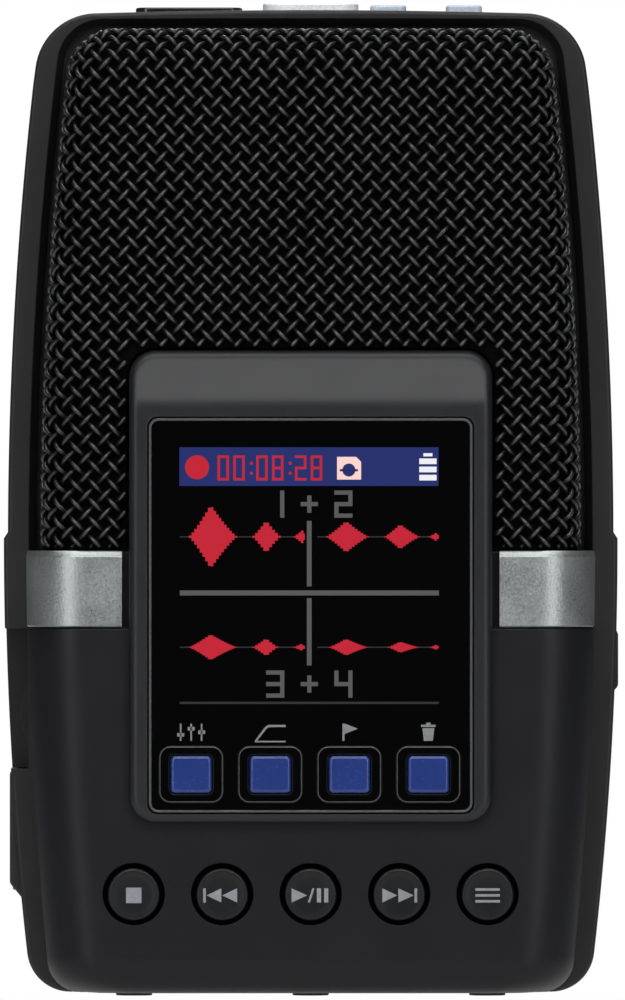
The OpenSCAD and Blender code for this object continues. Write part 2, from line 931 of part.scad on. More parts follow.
module key_board()
    color([0.1, 0.3, 0.18])
        difference() {
            box(-23.5, 23.5, key_board_y, key_board_y + board_t, 4.4, 18);
            for (p = key_posts)
                rod_y(p[0], p[1], small_screw_r, key_board_y - 1, 0);
        }

module tact_switches()
    color([0.6, 0.6, 0.6]) {
        for (i = [-2:2]) {
            box(i * button_pitch - 1.7, i * button_pitch + 1.7, key_board_y - 1.1, key_board_y,
                button_z - 1.7, button_z + 1.7);
            rod_y(i * button_pitch, button_z, 0.9, -button_back + button_travel + 2 * gap, key_board_y - 1);
        }
        for (x = [0, front_mic_x, rear_mic_x])
            translate([x, 0, top_board_z]) {
                translate([-1.7, -1.7, 0])
                    cube([3.4, 3.4, 1.1]);
                cylinder(r = 0.9, h = cap_bottom - top_travel - gap - top_board_z);
            }
    }

// One transport button: a cap in its hole and a wider flange behind the shell's wall
module transport_button(i)
    color([0.16, 0.16, 0.18]) {
        rod_y(i * button_pitch, button_z, button_d / 2, -button_front, -17.3);
        rod_y(i * button_pitch, button_z, button_flange_d / 2, -button_back - flange_t, -button_back);
    }

module stop_button()
    transport_button(-2);

module rewind_button()
    transport_button(-1);

module play_button()
    transport_button(0);

module forward_button()
    transport_button(1);

module menu_button()
    transport_button(2);

module top_board()
    color([0.1, 0.3, 0.18])
        box(-24.5, 24.5, -4, 4, top_board_z - board_t, top_board_z);

// One button in the top: a cap through the roof and a flange under it
module top_button(x, w, d, r, proud)
    translate([x, 0, 0]) {
        translate([0, 0, cap_bottom])
            linear_extrude(height = frame_top + proud - cap_bottom)
                rounded(w, d, r);
        translate([0, 0, flange_bottom])
            linear_extrude(height = frame_top - roof_t - flange_bottom - gap)
                rounded(w + 2 * top_flange, d + 2 * top_flange, r);
    }

module record_button()
    color([0.8, 0.8, 0.82])
        top_button(0, record_w, record_d, 2.3, 1);

module front_mic_button()
    color([0.7, 0.72, 0.76])
        top_button(front_mic_x, top_key_w, top_key_d, 0.9, 0.7);

module rear_mic_button()
    color([0.7, 0.72, 0.76])
        top_button(rear_mic_x, top_key_w, top_key_d, 0.9, 0.7);

module lamp_window()
    color([0.1, 0.1, 0.1])
        translate([(lamp_x0 + lamp_x1) / 2, 0, frame_top - roof_t])
            linear_extrude(height = roof_t + 0.45)
                rounded(lamp_x1 - lamp_x0, lamp_d, 1.5);

// Places a capsule: crossed pairs, turned outwards, in front and behind
module mic_place(sx, sy)
    translate([sx * mic_x, sy * mic_y, mic_z])
        rotate([sy > 0 ? -90 : 90, 0, -sx * sy * mic_turn])
            children();

module capsule(sx, sy)
    color([0.55, 0.55, 0.55])
        mic_place(sx, sy)
            translate([0, 0, -mic_l / 2]) {
                cylinder(r = mic_d / 2, h = mic_l);
            }

module mic_front_left()
    capsule(-1, -1);

module mic_front_right()
    capsule(1, -1);

module mic_rear_left()
    capsule(-1, 1);

module mic_rear_right()
    capsule(1, 1);

module mic_cradle()
    color([0.12, 0.12, 0.12])
        difference() {
            union() {
                along_y(-1.2, 1.2)
                    intersection() {
                        inner_outline();
                        translate([-far, 82])
                            square([2 * far, 16]);
                    }
                for (sx = [-1, 1])
                    for (sy = [-1, 1])
                        mic_place(sx, sy)
                            translate([0, 0, -mic_l / 2 - 1])
                                cylinder(r = mic_d / 2 + 1, h = mic_l - 0.5);
            }
            for (sx = [-1, 1])
                for (sy = [-1, 1])
                    mic_place(sx, sy)
                        translate([0, 0, -mic_l / 2])
                            cylinder(r = mic_d / 2 + gap / 2, h = mic_l + 10);
        }

module jack(z)
    color([0.1, 0.1, 0.1])
        difference() {
            union() {
                box(-jack_body_x, -jack_body_x + jack_l, jack_y - jack_h / 2, jack_y + jack_h / 2,
                    z - jack_h / 2, z + jack_h / 2);
                rod_x(jack_y, z, jack_barrel_d / 2, -jack_face, -jack_body_x + 1);
            }
            rod_x(jack_y, z, jack_bore_d / 2, -far, -jack_face + jack_depth);
        }

module headphone_jack()
    jack(headphone_z);

module line_in_jack()
    jack(line_in_z);

module usb_socket()
    color([0.7, 0.7, 0.72])
        difference() {
            along_x(21.4, 28.4)
                translate([usb_y, usb_z])
                    rounded(usb_t, usb_w, 1.4);
            along_x(22.6, 30)
                translate([usb_y, usb_z])
                    rounded(usb_t - 0.6, usb_w - 0.6, 1.1);
            box(20, 30, -far, main_y, 0, far);
        }

module card_socket()
    color([0.7, 0.7, 0.72])
        difference() {
            box(14, 28.4, main_y, main_y + card_t, card_z - card_w / 2, card_z + card_w / 2);
            box(15, 30, main_y + 0.5, main_y + 1.4, card_z - 5.6, card_z + 5.6);
        }

module power_switch()
    color([0.3, 0.3, 0.3])
        box(24, 28.6, main_y, 1.2, 34.4, 42);

module power_slider()
    color([0.1, 0.1, 0.1]) {
        along_y(-slider_y, slider_y)
            difference() {
                polygon([
                    [32.4, slider_z0], [33.7, slider_z0], [slider_out, slider_z0 + 0.5],
                    [slider_out, slider_z1 - 0.5], [33.9, slider_z1], [32.4, slider_z1]
                ]);
                outline(body_w + hip - slider_pocket + 0.2, hip_r, foot_h, waist_z, 1, 1);
            }
        box(28.9, 33.4, -0.8, 0.8, 36.2, 37.8);
    }

module volume_pot()
    color([0.3, 0.3, 0.3]) {
        box(wheel_x - 1.9, wheel_x + 4, main_y, wheel_y0 - wheel_clear, wheel_z - 4, wheel_z + 4);
        rod_y(wheel_x, wheel_z, 1, wheel_y0 - 0.4, wheel_y1 - 0.6);
    }

module volume_wheel()
    color([0.08, 0.08, 0.08])
        difference() {
            rod_y(wheel_x, wheel_z, wheel_d / 2, wheel_y0, wheel_y1);
            rod_y(wheel_x, wheel_z, 1.05, wheel_y0 - 1, wheel_y1 - 0.5);
            for (i = [0:notches - 1])
                translate([wheel_x, 0, wheel_z])
                    rotate([0, 360 / notches * i, 0])
                        box(wheel_d / 2 - 0.25, wheel_d, wheel_y0 - 1, wheel_y1 + 1, -0.2, 0.2);
        }

center_frame();
front_shell();
rear_shell();
battery_door();
inner_chassis();
battery_tray();
upper_cell();
lower_cell();
battery_springs();
battery_contacts();
tripod_insert();
feet();
case_screws();
bezel();
display_window();
display_module();
display_board();
function_switches();
function_key(1);  // function_key_1
function_key(2);  // function_key_2
function_key(3);  // function_key_3
function_key(4);  // function_key_4
front_grille();
rear_grille();
front_foam();
rear_foam();
front_band_left();
front_band_right();
rear_band();
speaker();
main_board();
main_chips();
board_screws();
key_board();
tact_switches();
stop_button();
rewind_button();
play_button();
forward_button();
menu_button();
top_board();
record_button();
front_mic_button();
rear_mic_button();
lamp_window();
mic_cradle();
mic_front_left();
mic_front_right();
mic_rear_left();
mic_rear_right();
headphone_jack();
line_in_jack();
usb_socket();
card_socket();
power_switch();
power_slider();
volume_pot();
volume_wheel();
side_cover();
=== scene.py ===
"""Portable field recorder: finished surfaces, materials, light and camera round the CAD frame."""
import json
import math

import bmesh
import bpy
import numpy as np
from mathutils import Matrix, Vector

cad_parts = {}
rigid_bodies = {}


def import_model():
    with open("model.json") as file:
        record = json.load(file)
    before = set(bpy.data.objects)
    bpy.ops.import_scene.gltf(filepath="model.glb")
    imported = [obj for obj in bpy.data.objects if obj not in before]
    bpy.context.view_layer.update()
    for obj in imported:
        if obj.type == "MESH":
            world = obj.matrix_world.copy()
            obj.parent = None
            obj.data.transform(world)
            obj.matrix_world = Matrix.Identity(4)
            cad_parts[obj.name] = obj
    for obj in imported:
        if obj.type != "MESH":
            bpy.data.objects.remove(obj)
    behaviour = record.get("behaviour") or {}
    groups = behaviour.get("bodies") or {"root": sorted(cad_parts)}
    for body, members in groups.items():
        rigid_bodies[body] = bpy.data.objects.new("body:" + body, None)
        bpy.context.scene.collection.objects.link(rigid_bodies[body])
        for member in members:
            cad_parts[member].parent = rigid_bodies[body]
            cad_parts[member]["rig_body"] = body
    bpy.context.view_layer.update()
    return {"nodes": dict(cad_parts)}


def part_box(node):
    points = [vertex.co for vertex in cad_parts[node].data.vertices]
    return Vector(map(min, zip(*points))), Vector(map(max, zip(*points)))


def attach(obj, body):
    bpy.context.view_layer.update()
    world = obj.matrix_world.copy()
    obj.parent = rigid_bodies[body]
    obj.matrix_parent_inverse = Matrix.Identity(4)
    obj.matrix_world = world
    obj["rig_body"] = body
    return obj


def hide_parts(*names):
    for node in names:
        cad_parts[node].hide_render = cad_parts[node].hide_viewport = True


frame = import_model()

MM = 0.001

# Driving sizes of the body, in millimetres: x to the right, y to the back, z up
FOOT_H = 0.3
WAIST_Z = 50.0
SIDE_R = 460.0
GRILLE_W = 29.9
GRILLE_EDGE = 4.5
GRILLE_TOP = 106.8
GRILLE_FACE = {"front": 18.8, "rear": 20.7}
BAND_BOTTOM, BAND_TOP = 40.7, 49.1
SHELL_W = 31.4
SHELL_EDGE = 6.5
SHELL_FACE = {"front": 19.6, "rear": 21.5}
SHELL_FOOT = 4.0
SHELL_CORNER = 3.3
SHELL_WALL = 1.6
BAND_WALL = 1.2
RAIL_Y = 8.5
BEZEL_HALF, BEZEL_BOTTOM, BEZEL_TOP = 20.0, 19.1, 71.2
BEZEL_FACE, BEZEL_BROW = 21.3, 65.4
WINDOW_HALF, WINDOW_BOTTOM, WINDOW_TOP = 17.9, 20.2, 63.8
WINDOW_FACE = 21.0
KEY_Z, KEY_W, KEY_H = 24.5, 4.55, 4.1
KEY_EDGE, KEY_SOFT, KEY_FLANGE = 0.42, 0.34, -19.5
KEY_X = [(i - 1.5) * 8.7 - 0.1 for i in range(4)]
BUTTON_PITCH, BUTTON_Z, BUTTON_D, BUTTON_FRONT = 9.74, 11.3, 5.75, 20.2
BUTTONS = ("stop", "rewind", "play", "forward", "menu")
BUTTON_HOLE = 6.8
SCREW_X, SCREW_HOLE = 24.5, 2.0
SCREW_Y = {"front": -12.0, "rear": 11.0}
DOOR_HALF, DOOR_TOP, DOOR_WALL, DOOR_BACK = 27.4, 40.3, 1.5, 13.6
CELL_Y, CELL_R, CELL_LENGTH = 11.8, 7.25, 50.5
CELLS = {"upper_cell": (28.0, 1), "lower_cell": (12.0, -1)}
CONTACT_X = 26.6


# ---------------------------------------------------------------- mesh making

def add_piece(name, mesh, body, material, replaces=()):
    """Links a finished mesh as a piece that rides on a body."""
    piece = bpy.data.objects.new(name, mesh)
    bpy.context.scene.collection.objects.link(piece)
    mesh.materials.clear()
    mesh.materials.append(material)
    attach(piece, body)
    if replaces:
        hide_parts(*replaces)
    return piece


def mesh_from(name, points, faces, smooth=True):
    """Mesh from points in millimetres and lists of corner numbers."""
    mesh = bpy.data.meshes.new(name)
    mesh.from_pydata((np.asarray(points) * MM).tolist(), [], faces)
    mesh.polygons.foreach_set("use_smooth", [smooth] * len(mesh.polygons))
    mesh.validate()
    return mesh


def grid_faces(rows, cols, close_rows=False, close_cols=False, start=0):
    """Four-cornered faces between neighbouring rows and columns of a grid of points."""
    r = np.arange(rows if close_rows else rows - 1)
    c = np.arange(cols if close_cols else cols - 1)
    a, b = np.meshgrid(r, c, indexing="ij")
    a2, b2 = (a + 1) % rows, (b + 1) % cols
    corners = [a * cols + b, a * cols + b2, a2 * cols + b2, a2 * cols + b]
    return (np.stack(corners, -1).reshape(-1, 4) + start).tolist()


def turned(centre, axis, profile, sides=64):
    """Surface of revolution: the profile's (radius, height) pairs turned about an axis."""
    axis = np.asarray(axis, float) / np.linalg.norm(axis)
    side = np.cross(axis, [0, 0, 1]) if abs(axis[2]) < 0.9 else np.cross(axis, [0, 1, 0])
    side /= np.linalg.norm(side)
    other = np.cross(axis, side)
    t = np.linspace(0, 2 * math.pi, sides, endpoint=False)
    ring = np.outer(np.cos(t), side) + np.outer(np.sin(t), other)
    r = np.array([p[0] for p in profile])
    h = np.array([p[1] for p in profile])
    pts = np.asarray(centre) + r[:, None, None] * ring[None] + (h[:, None] * axis)[:, None, :]
    faces = grid_faces(len(profile), sides, close_cols=True)
    points = pts.reshape(-1, 3).tolist()
    for row, flip in ((0, True), (len(profile) - 1, False)):
        if r[row] > 0:
            loop = [row * sides + i for i in range(sides)]
            faces.append(loop[::-1] if flip else loop)
    return points, faces


def recalculated(mesh, merge=1e-7):
    """The same mesh with its doubles merged and its faces pointing outwards."""
    bm = bmesh.new()
    bm.from_mesh(mesh)
    bmesh.ops.remove_doubles(bm, verts=bm.verts, dist=merge)
    bmesh.ops.recalc_face_normals(bm, faces=bm.faces)
    bm.to_mesh(mesh)
    bm.free()
    return mesh


def finished_copy(node, material, width, segments=3, angle=32, flat=0.8):
    """A CAD node's own shape with merged corners, clean flats and rounded edges."""
    source = frame["nodes"][node]
    mesh = source.data.copy()
    mesh.name = node + "_finish"
    bm = bmesh.new()
    bm.from_mesh(mesh)
    bmesh.ops.remove_doubles(bm, verts=bm.verts, dist=2e-6)
    bmesh.ops.dissolve_limit(
        bm, angle_limit=math.radians(flat), verts=bm.verts, edges=bm.edges, delimit=set()
    )
    bm.to_mesh(mesh)
    bm.free()
    mesh.polygons.foreach_set("use_smooth", [True] * len(mesh.polygons))
    piece = add_piece(mesh.name, mesh, source["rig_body"], material, (node,))
    round_edges(piece, width, segments, angle)
    return piece


def round_edges(piece, width, segments=3, angle=32):
    """Rounds a piece's sharp edges and keeps its flat faces flat in shading."""
    if width:
        bevel = piece.modifiers.new("rounded_edges", "BEVEL")
        bevel.width = width * MM
        bevel.segments = segments
        bevel.limit_method = "ANGLE"
        bevel.angle_limit = math.radians(angle)
        bevel.use_clamp_overlap = False
        bevel.miter_outer = "MITER_ARC"
    weighted = piece.modifiers.new("even_shading", "WEIGHTED_NORMAL")
    weighted.keep_sharp = True


def tube(path, radius, sides=8, closed=False):
    """Points and faces of a tube of constant or changing radius along a path."""
    path = np.asarray(path, float)
    ahead = np.roll(path, -1, 0) - np.roll(path, 1, 0)
    if not closed:
        ahead[0], ahead[-1] = path[1] - path[0], path[-1] - path[-2]
    ahead /= np.linalg.norm(ahead, axis=1)[:, None]
    lead = np.array([0.0, 1.0, 0.0]) if abs(ahead[:, 1]).max() < 0.9 else np.array([0.0, 0.0, 1.0])
    side = np.cross(ahead, lead)
    side /= np.linalg.norm(side, axis=1)[:, None]
    up = np.cross(side, ahead)
    t = np.arange(sides) * 2 * math.pi / sides
    r = np.broadcast_to(np.asarray(radius, float), (len(path),))[:, None, None]
    ring = np.cos(t)[None, :, None] * side[:, None] + np.sin(t)[None, :, None] * up[:, None]
    points = (path[:, None] + r * ring).reshape(-1, 3).tolist()
    faces = grid_faces(len(path), sides, close_rows=closed, close_cols=True)
    if not closed:
        faces.append(list(range(sides))[::-1])
        faces.append([(len(path) - 1) * sides + k for k in range(sides)])
    return points, faces


def joined(*parts):
    """Several (points, faces) pairs as one pair."""
    points, faces = [], []
    for more_points, more_faces in parts:
        start = len(points)
        points += [list(p) for p in more_points]
        faces += [[k + start for k in face] for face in more_faces]
    return points, faces


def block(x0, x1, y0, y1, z0, z1):
    """Points and faces of a plain box."""
    points = [(x, y, z) for x in (x0, x1) for y in (y0, y1) for z in (z0, z1)]
    faces = [[0, 1, 3, 2], [4, 6, 7, 5], [0, 4, 5, 1], [2, 3, 7, 6], [0, 2, 6, 4], [1, 5, 7, 3]]
    return points, faces


def plate(outline, y0, y1):
    """A flat (x, z) outline as a plate from y0 to y1."""
    n = len(outline)
    points = [(x, y, z) for y in (y0, y1) for x, z in outline]
    faces = [list(range(n)), list(range(n, 2 * n))[::-1]]
    faces += [[i, i + n, (i + 1) % n + n, (i + 1) % n] for i in range(n)]
    return points, faces


def rounded_loop(w, h, r, cx=0.0, cz=0.0, corner=8, tall=1, wide=1):
    """(x, z) points round a rectangle with round corners, starting at its lower right."""
    loop = []
    for sx, sz, turn in ((1, -1, -90), (1, 1, 0), (-1, 1, 90), (-1, -1, 180)):
        for i in range(corner + 1):
            a = math.radians(turn + 90 * i / corner)
            loop.append((sx * (w / 2 - r) + r * math.cos(a), sz * (h / 2 - r) + r * math.sin(a)))
        steps = tall if turn in (-90, 90) else wide
        nx, nz = loop[-1]
        length = (h if turn in (-90, 90) else w) - 2 * r
        dx, dz = -math.sin(math.radians(turn + 90)), math.cos(math.radians(turn + 90))
        loop += [(nx + dx * length * k / steps, nz + dz * length * k / steps)
                 for k in range(1, steps)]
    return np.array(loop) + (cx, cz)


def cut(mesh, *cutters):
    """The mesh with each (points, faces) cutter taken away."""
    scene = bpy.context.scene.collection.objects
    body = bpy.data.objects.new("cut_body", mesh)
    scene.link(body)
    tools = []
    for points, faces in cutters:
        tool = bpy.data.objects.new("cutter", recalculated(mesh_from("cutter", points, faces)))
        scene.link(tool)
        tools.append(tool)
        boolean = body.modifiers.new("cut", "BOOLEAN")
        boolean.operation = "DIFFERENCE"
        boolean.solver = "EXACT"
        boolean.object = tool
    view = bpy.context.evaluated_depsgraph_get()
    result = bpy.data.meshes.new_from_object(body.evaluated_get(view))
    for thing in [body] + tools:
        bpy.data.objects.remove(thing)
    bm = bmesh.new()
    bm.from_mesh(result)
    bmesh.ops.remove_doubles(bm, verts=bm.verts, dist=1e-6)
    bmesh.ops.dissolve_limit(
        bm, angle_limit=math.radians(0.1), verts=bm.verts, edges=bm.edges, delimit=set()
    )
    bm.to_mesh(result)
    bm.free()
    result.polygons.foreach_set("use_smooth", [True] * len(result.polygons))
    return result


def prism(outline, axis, low, high):
    """An outline of (u, v) points carried from low to high along axis x, y or z."""
    order = {"x": (2, 0, 1), "y": (0, 2, 1), "z": (0, 1, 2)}[axis]
    n = len(outline)
    points = [tuple((u, v, w)[k] for k in order) for w in (low, high) for u, v in outline]
    faces = [list(range(n)), list(range(n, 2 * n))[::-1]]
    faces += [[i, i + n, (i + 1) % n + n, (i + 1) % n] for i in range(n)]
    return points, faces


# ---------------------------------------------------------------- shared effects

def new_group(name, inputs, outputs):
    """An empty shader node group with named sockets."""
    group = bpy.data.node_groups.new(name, "ShaderNodeTree")
    for label, kind, value in inputs:
        socket = group.interface.new_socket(label, in_out="INPUT", socket_type=kind)
        socket.default_value = value
    for label, kind in outputs:
        group.interface.new_socket(label, in_out="OUTPUT", socket_type=kind)
    return group, group.nodes.new("NodeGroupInput"), group.nodes.new("NodeGroupOutput")


def math_node(tree, operation, a, b=None, clamp=False):
    node = tree.nodes.new("ShaderNodeMath")
    node.operation = operation
    node.use_clamp = clamp
    for socket, value in zip(node.inputs, (a, b)):
        if value is None:
            continue
        if isinstance(value, (int, float)):
            socket.default_value = value
        else:
            tree.links.new(value, socket)
    return node.outputs[0]


def make_grain_group():
    """Fine moulded grain: two noises of different size added, as a height and as a mask."""
    group, given, result = new_group(
        "moulded_grain",
        [("Grain", "NodeSocketFloat", 3500.0), ("Blend", "NodeSocketFloat", 0.35)],
        [("Height", "NodeSocketFloat"), ("Mask", "NodeSocketFloat")],
    )
    place = group.nodes.new("ShaderNodeTexCoord")
    fine = group.nodes.new("ShaderNodeTexNoise")
    fine.inputs["Detail"].default_value = 3.0
    coarse = group.nodes.new("ShaderNodeTexNoise")
    coarse.inputs["Detail"].default_value = 2.0
    link = group.links.new
    link(place.outputs["Object"], fine.inputs["Vector"])
    link(place.outputs["Object"], coarse.inputs["Vector"])
    link(given.outputs["Grain"], fine.inputs["Scale"])
    link(math_node(group, "MULTIPLY", given.outputs["Grain"], 0.04), coarse.inputs["Scale"])
    mixed = group.nodes.new("ShaderNodeMix")
    link(given.outputs["Blend"], mixed.inputs["Factor"])
    link(fine.outputs["Fac"], mixed.inputs["A"])
    link(coarse.outputs["Fac"], mixed.inputs["B"])
    link(fine.outputs["Fac"], result.inputs["Height"])
    link(mixed.outputs["Result"], result.inputs["Mask"])
    return group


def make_wear_group():
    """Worn edges: how far a rounded normal turns away from the true one, broken up by noise."""
    group, given, result = new_group(
        "worn_edges",
        [("Radius", "NodeSocketFloat", 0.0004), ("Amount", "NodeSocketFloat", 1.0)],
        [("Mask", "NodeSocketFloat")],
    )
    link = group.links.new
    bevel = group.nodes.new("ShaderNodeBevel")
    bevel.samples = 4
    link(given.outputs["Radius"], bevel.inputs["Radius"])
    surface = group.nodes.new("ShaderNodeNewGeometry")
    dot = group.nodes.new("ShaderNodeVectorMath")
    dot.operation = "DOT_PRODUCT"
    link(bevel.outputs["Normal"], dot.inputs[0])
    link(surface.outputs["Normal"], dot.inputs[1])
    turned_away = math_node(group, "SUBTRACT", 1.0, dot.outputs["Value"])
    place = group.nodes.new("ShaderNodeTexCoord")
    noise = group.nodes.new("ShaderNodeTexNoise")
    noise.inputs["Scale"].default_value = 900.0
    noise.inputs["Detail"].default_value = 4.0
    link(place.outputs["Object"], noise.inputs["Vector"])
    broken = math_node(group, "MULTIPLY", turned_away, noise.outputs["Fac"])
    scaled = math_node(group, "MULTIPLY", broken, given.outputs["Amount"], clamp=True)
    link(scaled, result.inputs["Mask"])
    return group


GRAIN = make_grain_group()
WEAR = make_wear_group()


def shader(name):
    """A new material and its Principled shader."""
    material = bpy.data.materials.new(name)
    material.use_nodes = True
    return material, material.node_tree, material.node_tree.nodes["Principled BSDF"]


def effect(tree, group, **values):
    node = tree.nodes.new("ShaderNodeGroup")
    node.node_tree = group
    for label, value in values.items():
        node.inputs[label].default_value = value
    return node


def colour_between(tree, mask, low, high, low_at=0.3, high_at=0.7):
    ramp = tree.nodes.new("ShaderNodeValToRGB")
    ramp.color_ramp.elements[0].position = low_at
    ramp.color_ramp.elements[0].color = (*low, 1)
    ramp.color_ramp.elements[1].position = high_at
    ramp.color_ramp.elements[1].color = (*high, 1)
    tree.links.new(mask, ramp.inputs["Fac"])
    return ramp.outputs["Color"]


def value_between(tree, mask, low, high, low_at=0.3, high_at=0.7):
    span = tree.nodes.new("ShaderNodeMapRange")
    span.inputs["From Min"].default_value = low_at
    span.inputs["From Max"].default_value = high_at
    span.inputs["To Min"].default_value = low
    span.inputs["To Max"].default_value = high
    tree.links.new(mask, span.inputs["Value"])
    return span.outputs["Result"]


def relief(tree, height, strength, distance):
    bump = tree.nodes.new("ShaderNodeBump")
    bump.inputs["Strength"].default_value = strength
    bump.inputs["Distance"].default_value = distance
    tree.links.new(height, bump.inputs["Height"])
    return bump.outputs["Normal"]


def plastic(name, colour, rough=0.5, spread=0.08, grain=3500.0, bump=0.25, wear=0.0,
            specular=0.5, coat=0.0, lighten=1.35, metallic=0.0):
    """Moulded or painted surface: fine grain in colour, gloss and relief, and paler worn edges."""
    material, tree, bsdf = shader(name)
    texture = effect(tree, GRAIN, Grain=grain, Blend=0.35)
    mask = texture.outputs["Mask"]
    pale = tuple(min(1.0, c * lighten) for c in colour)
    base = colour_between(tree, mask, colour, pale)
    if wear:
        worn = effect(tree, WEAR, Radius=0.00035, Amount=wear)
        mix = tree.nodes.new("ShaderNodeMix")
        mix.data_type = "RGBA"
        tree.links.new(worn.outputs["Mask"], mix.inputs["Factor"])
        tree.links.new(base, mix.inputs["A"])
        mix.inputs["B"].default_value = (*[min(1.0, c * 3.2 + 0.02) for c in colour], 1)
        base = mix.outputs["Result"]
    tree.links.new(base, bsdf.inputs["Base Color"])
    tree.links.new(value_between(tree, mask, rough - spread / 2, rough + spread / 2),
                   bsdf.inputs["Roughness"])
    tree.links.new(relief(tree, texture.outputs["Height"], bump, 0.00003), bsdf.inputs["Normal"])
    bsdf.inputs["Specular IOR Level"].default_value = specular
    bsdf.inputs["Coat Weight"].default_value = coat
    bsdf.inputs["Coat Roughness"].default_value = 0.05
    bsdf.inputs["Metallic"].default_value = metallic
    return material


def crest_shaded_paint(name, low, high):
    """Paint on woven wire: rougher where the wire dips under and glossy where it is on top, with
    its colour made darker in the dips as painted shade from the crossing wires.
    """
    material, tree, bsdf = shader(name)
    crest = tree.nodes.new("ShaderNodeAttribute")
    crest.attribute_name = "crest"
    texture = effect(tree, GRAIN, Grain=2500.0, Blend=0.35)
    uneven = math_node(tree, "MULTIPLY", texture.outputs["Mask"], crest.outputs["Fac"])
    # Colour runs from near black in the dips to dark grey on top. This is painted shade where the
    # wire passes under, with random grain tone mixed in.
    tree.links.new(colour_between(tree, uneven, low, high, 0.22, 0.5), bsdf.inputs["Base Color"])
    tree.links.new(value_between(tree, uneven, 0.6, 0.3, 0.2, 0.5), bsdf.inputs["Roughness"])
    tree.links.new(value_between(tree, uneven, 0.0, 1.0, 0.2, 0.45), bsdf.inputs["Coat Weight"])
    bsdf.inputs["Coat Roughness"].default_value = 0.3
    bsdf.inputs["Specular IOR Level"].default_value = 0.12
    tree.links.new(relief(tree, texture.outputs["Height"], 0.15, 0.00002), bsdf.inputs["Normal"])
    return material


def glowing(name, colour, strength, spread=0.06):
    """A lit part of the display: its colour, slightly uneven, over a dark base."""
    material, tree, bsdf = shader(name)
    texture = effect(tree, GRAIN, Grain=2600.0, Blend=0.6)
    low = tuple(c * (1 - spread) for c in colour)
    uneven = colour_between(tree, texture.outputs["Mask"], low, colour)
    dark = tree.nodes.new("ShaderNodeMix")
    dark.data_type = "RGBA"
    dark.inputs["Factor"].default_value = 0.85
    tree.links.new(uneven, dark.inputs["A"])
    dark.inputs["B"].default_value = (0, 0, 0, 1)
    tree.links.new(dark.outputs["Result"], bsdf.inputs["Base Color"])
    tree.links.new(uneven, bsdf.inputs["Emission Color"])
    bsdf.inputs["Emission Strength"].default_value = strength
    bsdf.inputs["Roughness"].default_value = 0.3
    bsdf.inputs["Specular IOR Level"].default_value = 0.1
    return material


FRAME_PLASTIC = plastic("frame_plastic", (0.0110, 0.0110, 0.0120), rough=0.46, wear=0.5,
                        specular=0.32)
SHELL_PLASTIC = plastic("shell_plastic", (0.0042, 0.0044, 0.0060), rough=0.42, wear=0.3,
                        specular=0.24)
SURROUND_PLASTIC = plastic("surround_plastic", (0.0070, 0.0074, 0.0088), rough=0.40, wear=0.3,
                           specular=0.36)
# Wire paint with painted shade: darker where each wire dips under its neighbour.
WIRE_PAINT_SHADED = crest_shaded_paint("wire_paint", (0.001, 0.001, 0.0012), (0.015, 0.016, 0.018))
BAND_PAINT = plastic("band_paint", (0.255, 0.272, 0.272), rough=0.36, spread=0.2, grain=4200.0,
                     bump=1.0, metallic=0.85, lighten=1.6)
WINDOW_GLOSS = plastic("window_gloss", (0.0012, 0.0012, 0.0014), rough=0.07, spread=0.02,
                       bump=0.0, grain=300.0, specular=0.22)
# Rim material: its gloss reflects the lights for real, and its grey, paler than the black plastics,
# is a painted highlight.
RIM_HIGHLIGHT_GREY = plastic("rim_gloss", (0.045, 0.046, 0.048), rough=0.24, spread=0.04, bump=0.0)
BLUE_KEY = plastic("blue_key", (0.0040, 0.021, 0.14), rough=0.26, spread=0.05, bump=0.02,
                   specular=0.62)
BUTTON_PLASTIC = plastic("button_plastic", (0.0038, 0.0042, 0.0052), rough=0.36, wear=0.3,
                         specular=0.3)
# Near black and dull, for the button flanges: painted shade in the gap round each cap, not the
# colour of the cap's own plastic.
FLANGE_SHADE_BLACK = plastic("matt_black", (0.0012, 0.0012, 0.0012), rough=0.9, specular=0.05)
KEY_INK = plastic("key_ink", (0.15, 0.155, 0.16), rough=0.5, bump=0.05)
FOAM = plastic("open_foam", (0.0015, 0.0015, 0.0015), rough=0.95, grain=1800.0, bump=1.0,
               specular=0.05)
RECORD_SILVER = plastic("record_silver", (0.70, 0.72, 0.75), rough=0.3, bump=0.05)
GREY_KEY = plastic("grey_key", (0.42, 0.47, 0.55), rough=0.4, bump=0.1)
SMOKED_LENS = plastic("smoked_lens", (0.012, 0.010, 0.010), rough=0.12, spread=0.03, bump=0.0)
BRASS = plastic("insert_brass", (0.62, 0.44, 0.18), rough=0.3, metallic=1.0)
STEEL = plastic("plated_steel", (0.5, 0.5, 0.49), rough=0.3, metallic=1.0)
DARK_STEEL = plastic("black_zinc", (0.10, 0.10, 0.105), rough=0.36, metallic=1.0)
RUBBER = plastic("rubber", (0.010, 0.010, 0.010), rough=0.62, spread=0.1, bump=0.4, specular=0.3)
JACK_PLASTIC = plastic("jack_plastic", (0.008, 0.008, 0.008), rough=0.4)
BOARD = plastic("solder_mask", (0.008, 0.06, 0.028), rough=0.32, grain=900.0)
CELL_SLEEVE = plastic("cell_sleeve", (0.03, 0.05, 0.045), rough=0.25, coat=0.5)
INNER_PLASTIC = plastic("inner_plastic", (0.018, 0.018, 0.018), rough=0.5)
CAPSULE_METAL = plastic("capsule_metal", (0.45, 0.45, 0.45), rough=0.35, metallic=1.0)
ICON_INK = plastic("icon_ink", (0.185, 0.197, 0.215), rough=0.5, bump=0.05)
BAR_BLUE = glowing("bar_blue", (0.018, 0.027, 0.135), 1.0)
TRACE_RED = glowing("trace_red", (0.54, 0.020, 0.038), 0.88)
DISPLAY_GREY = glowing("display_grey", (0.095, 0.095, 0.095), 0.9)
DISPLAY_DIM = glowing("display_dim", (0.030, 0.034, 0.036), 0.9)
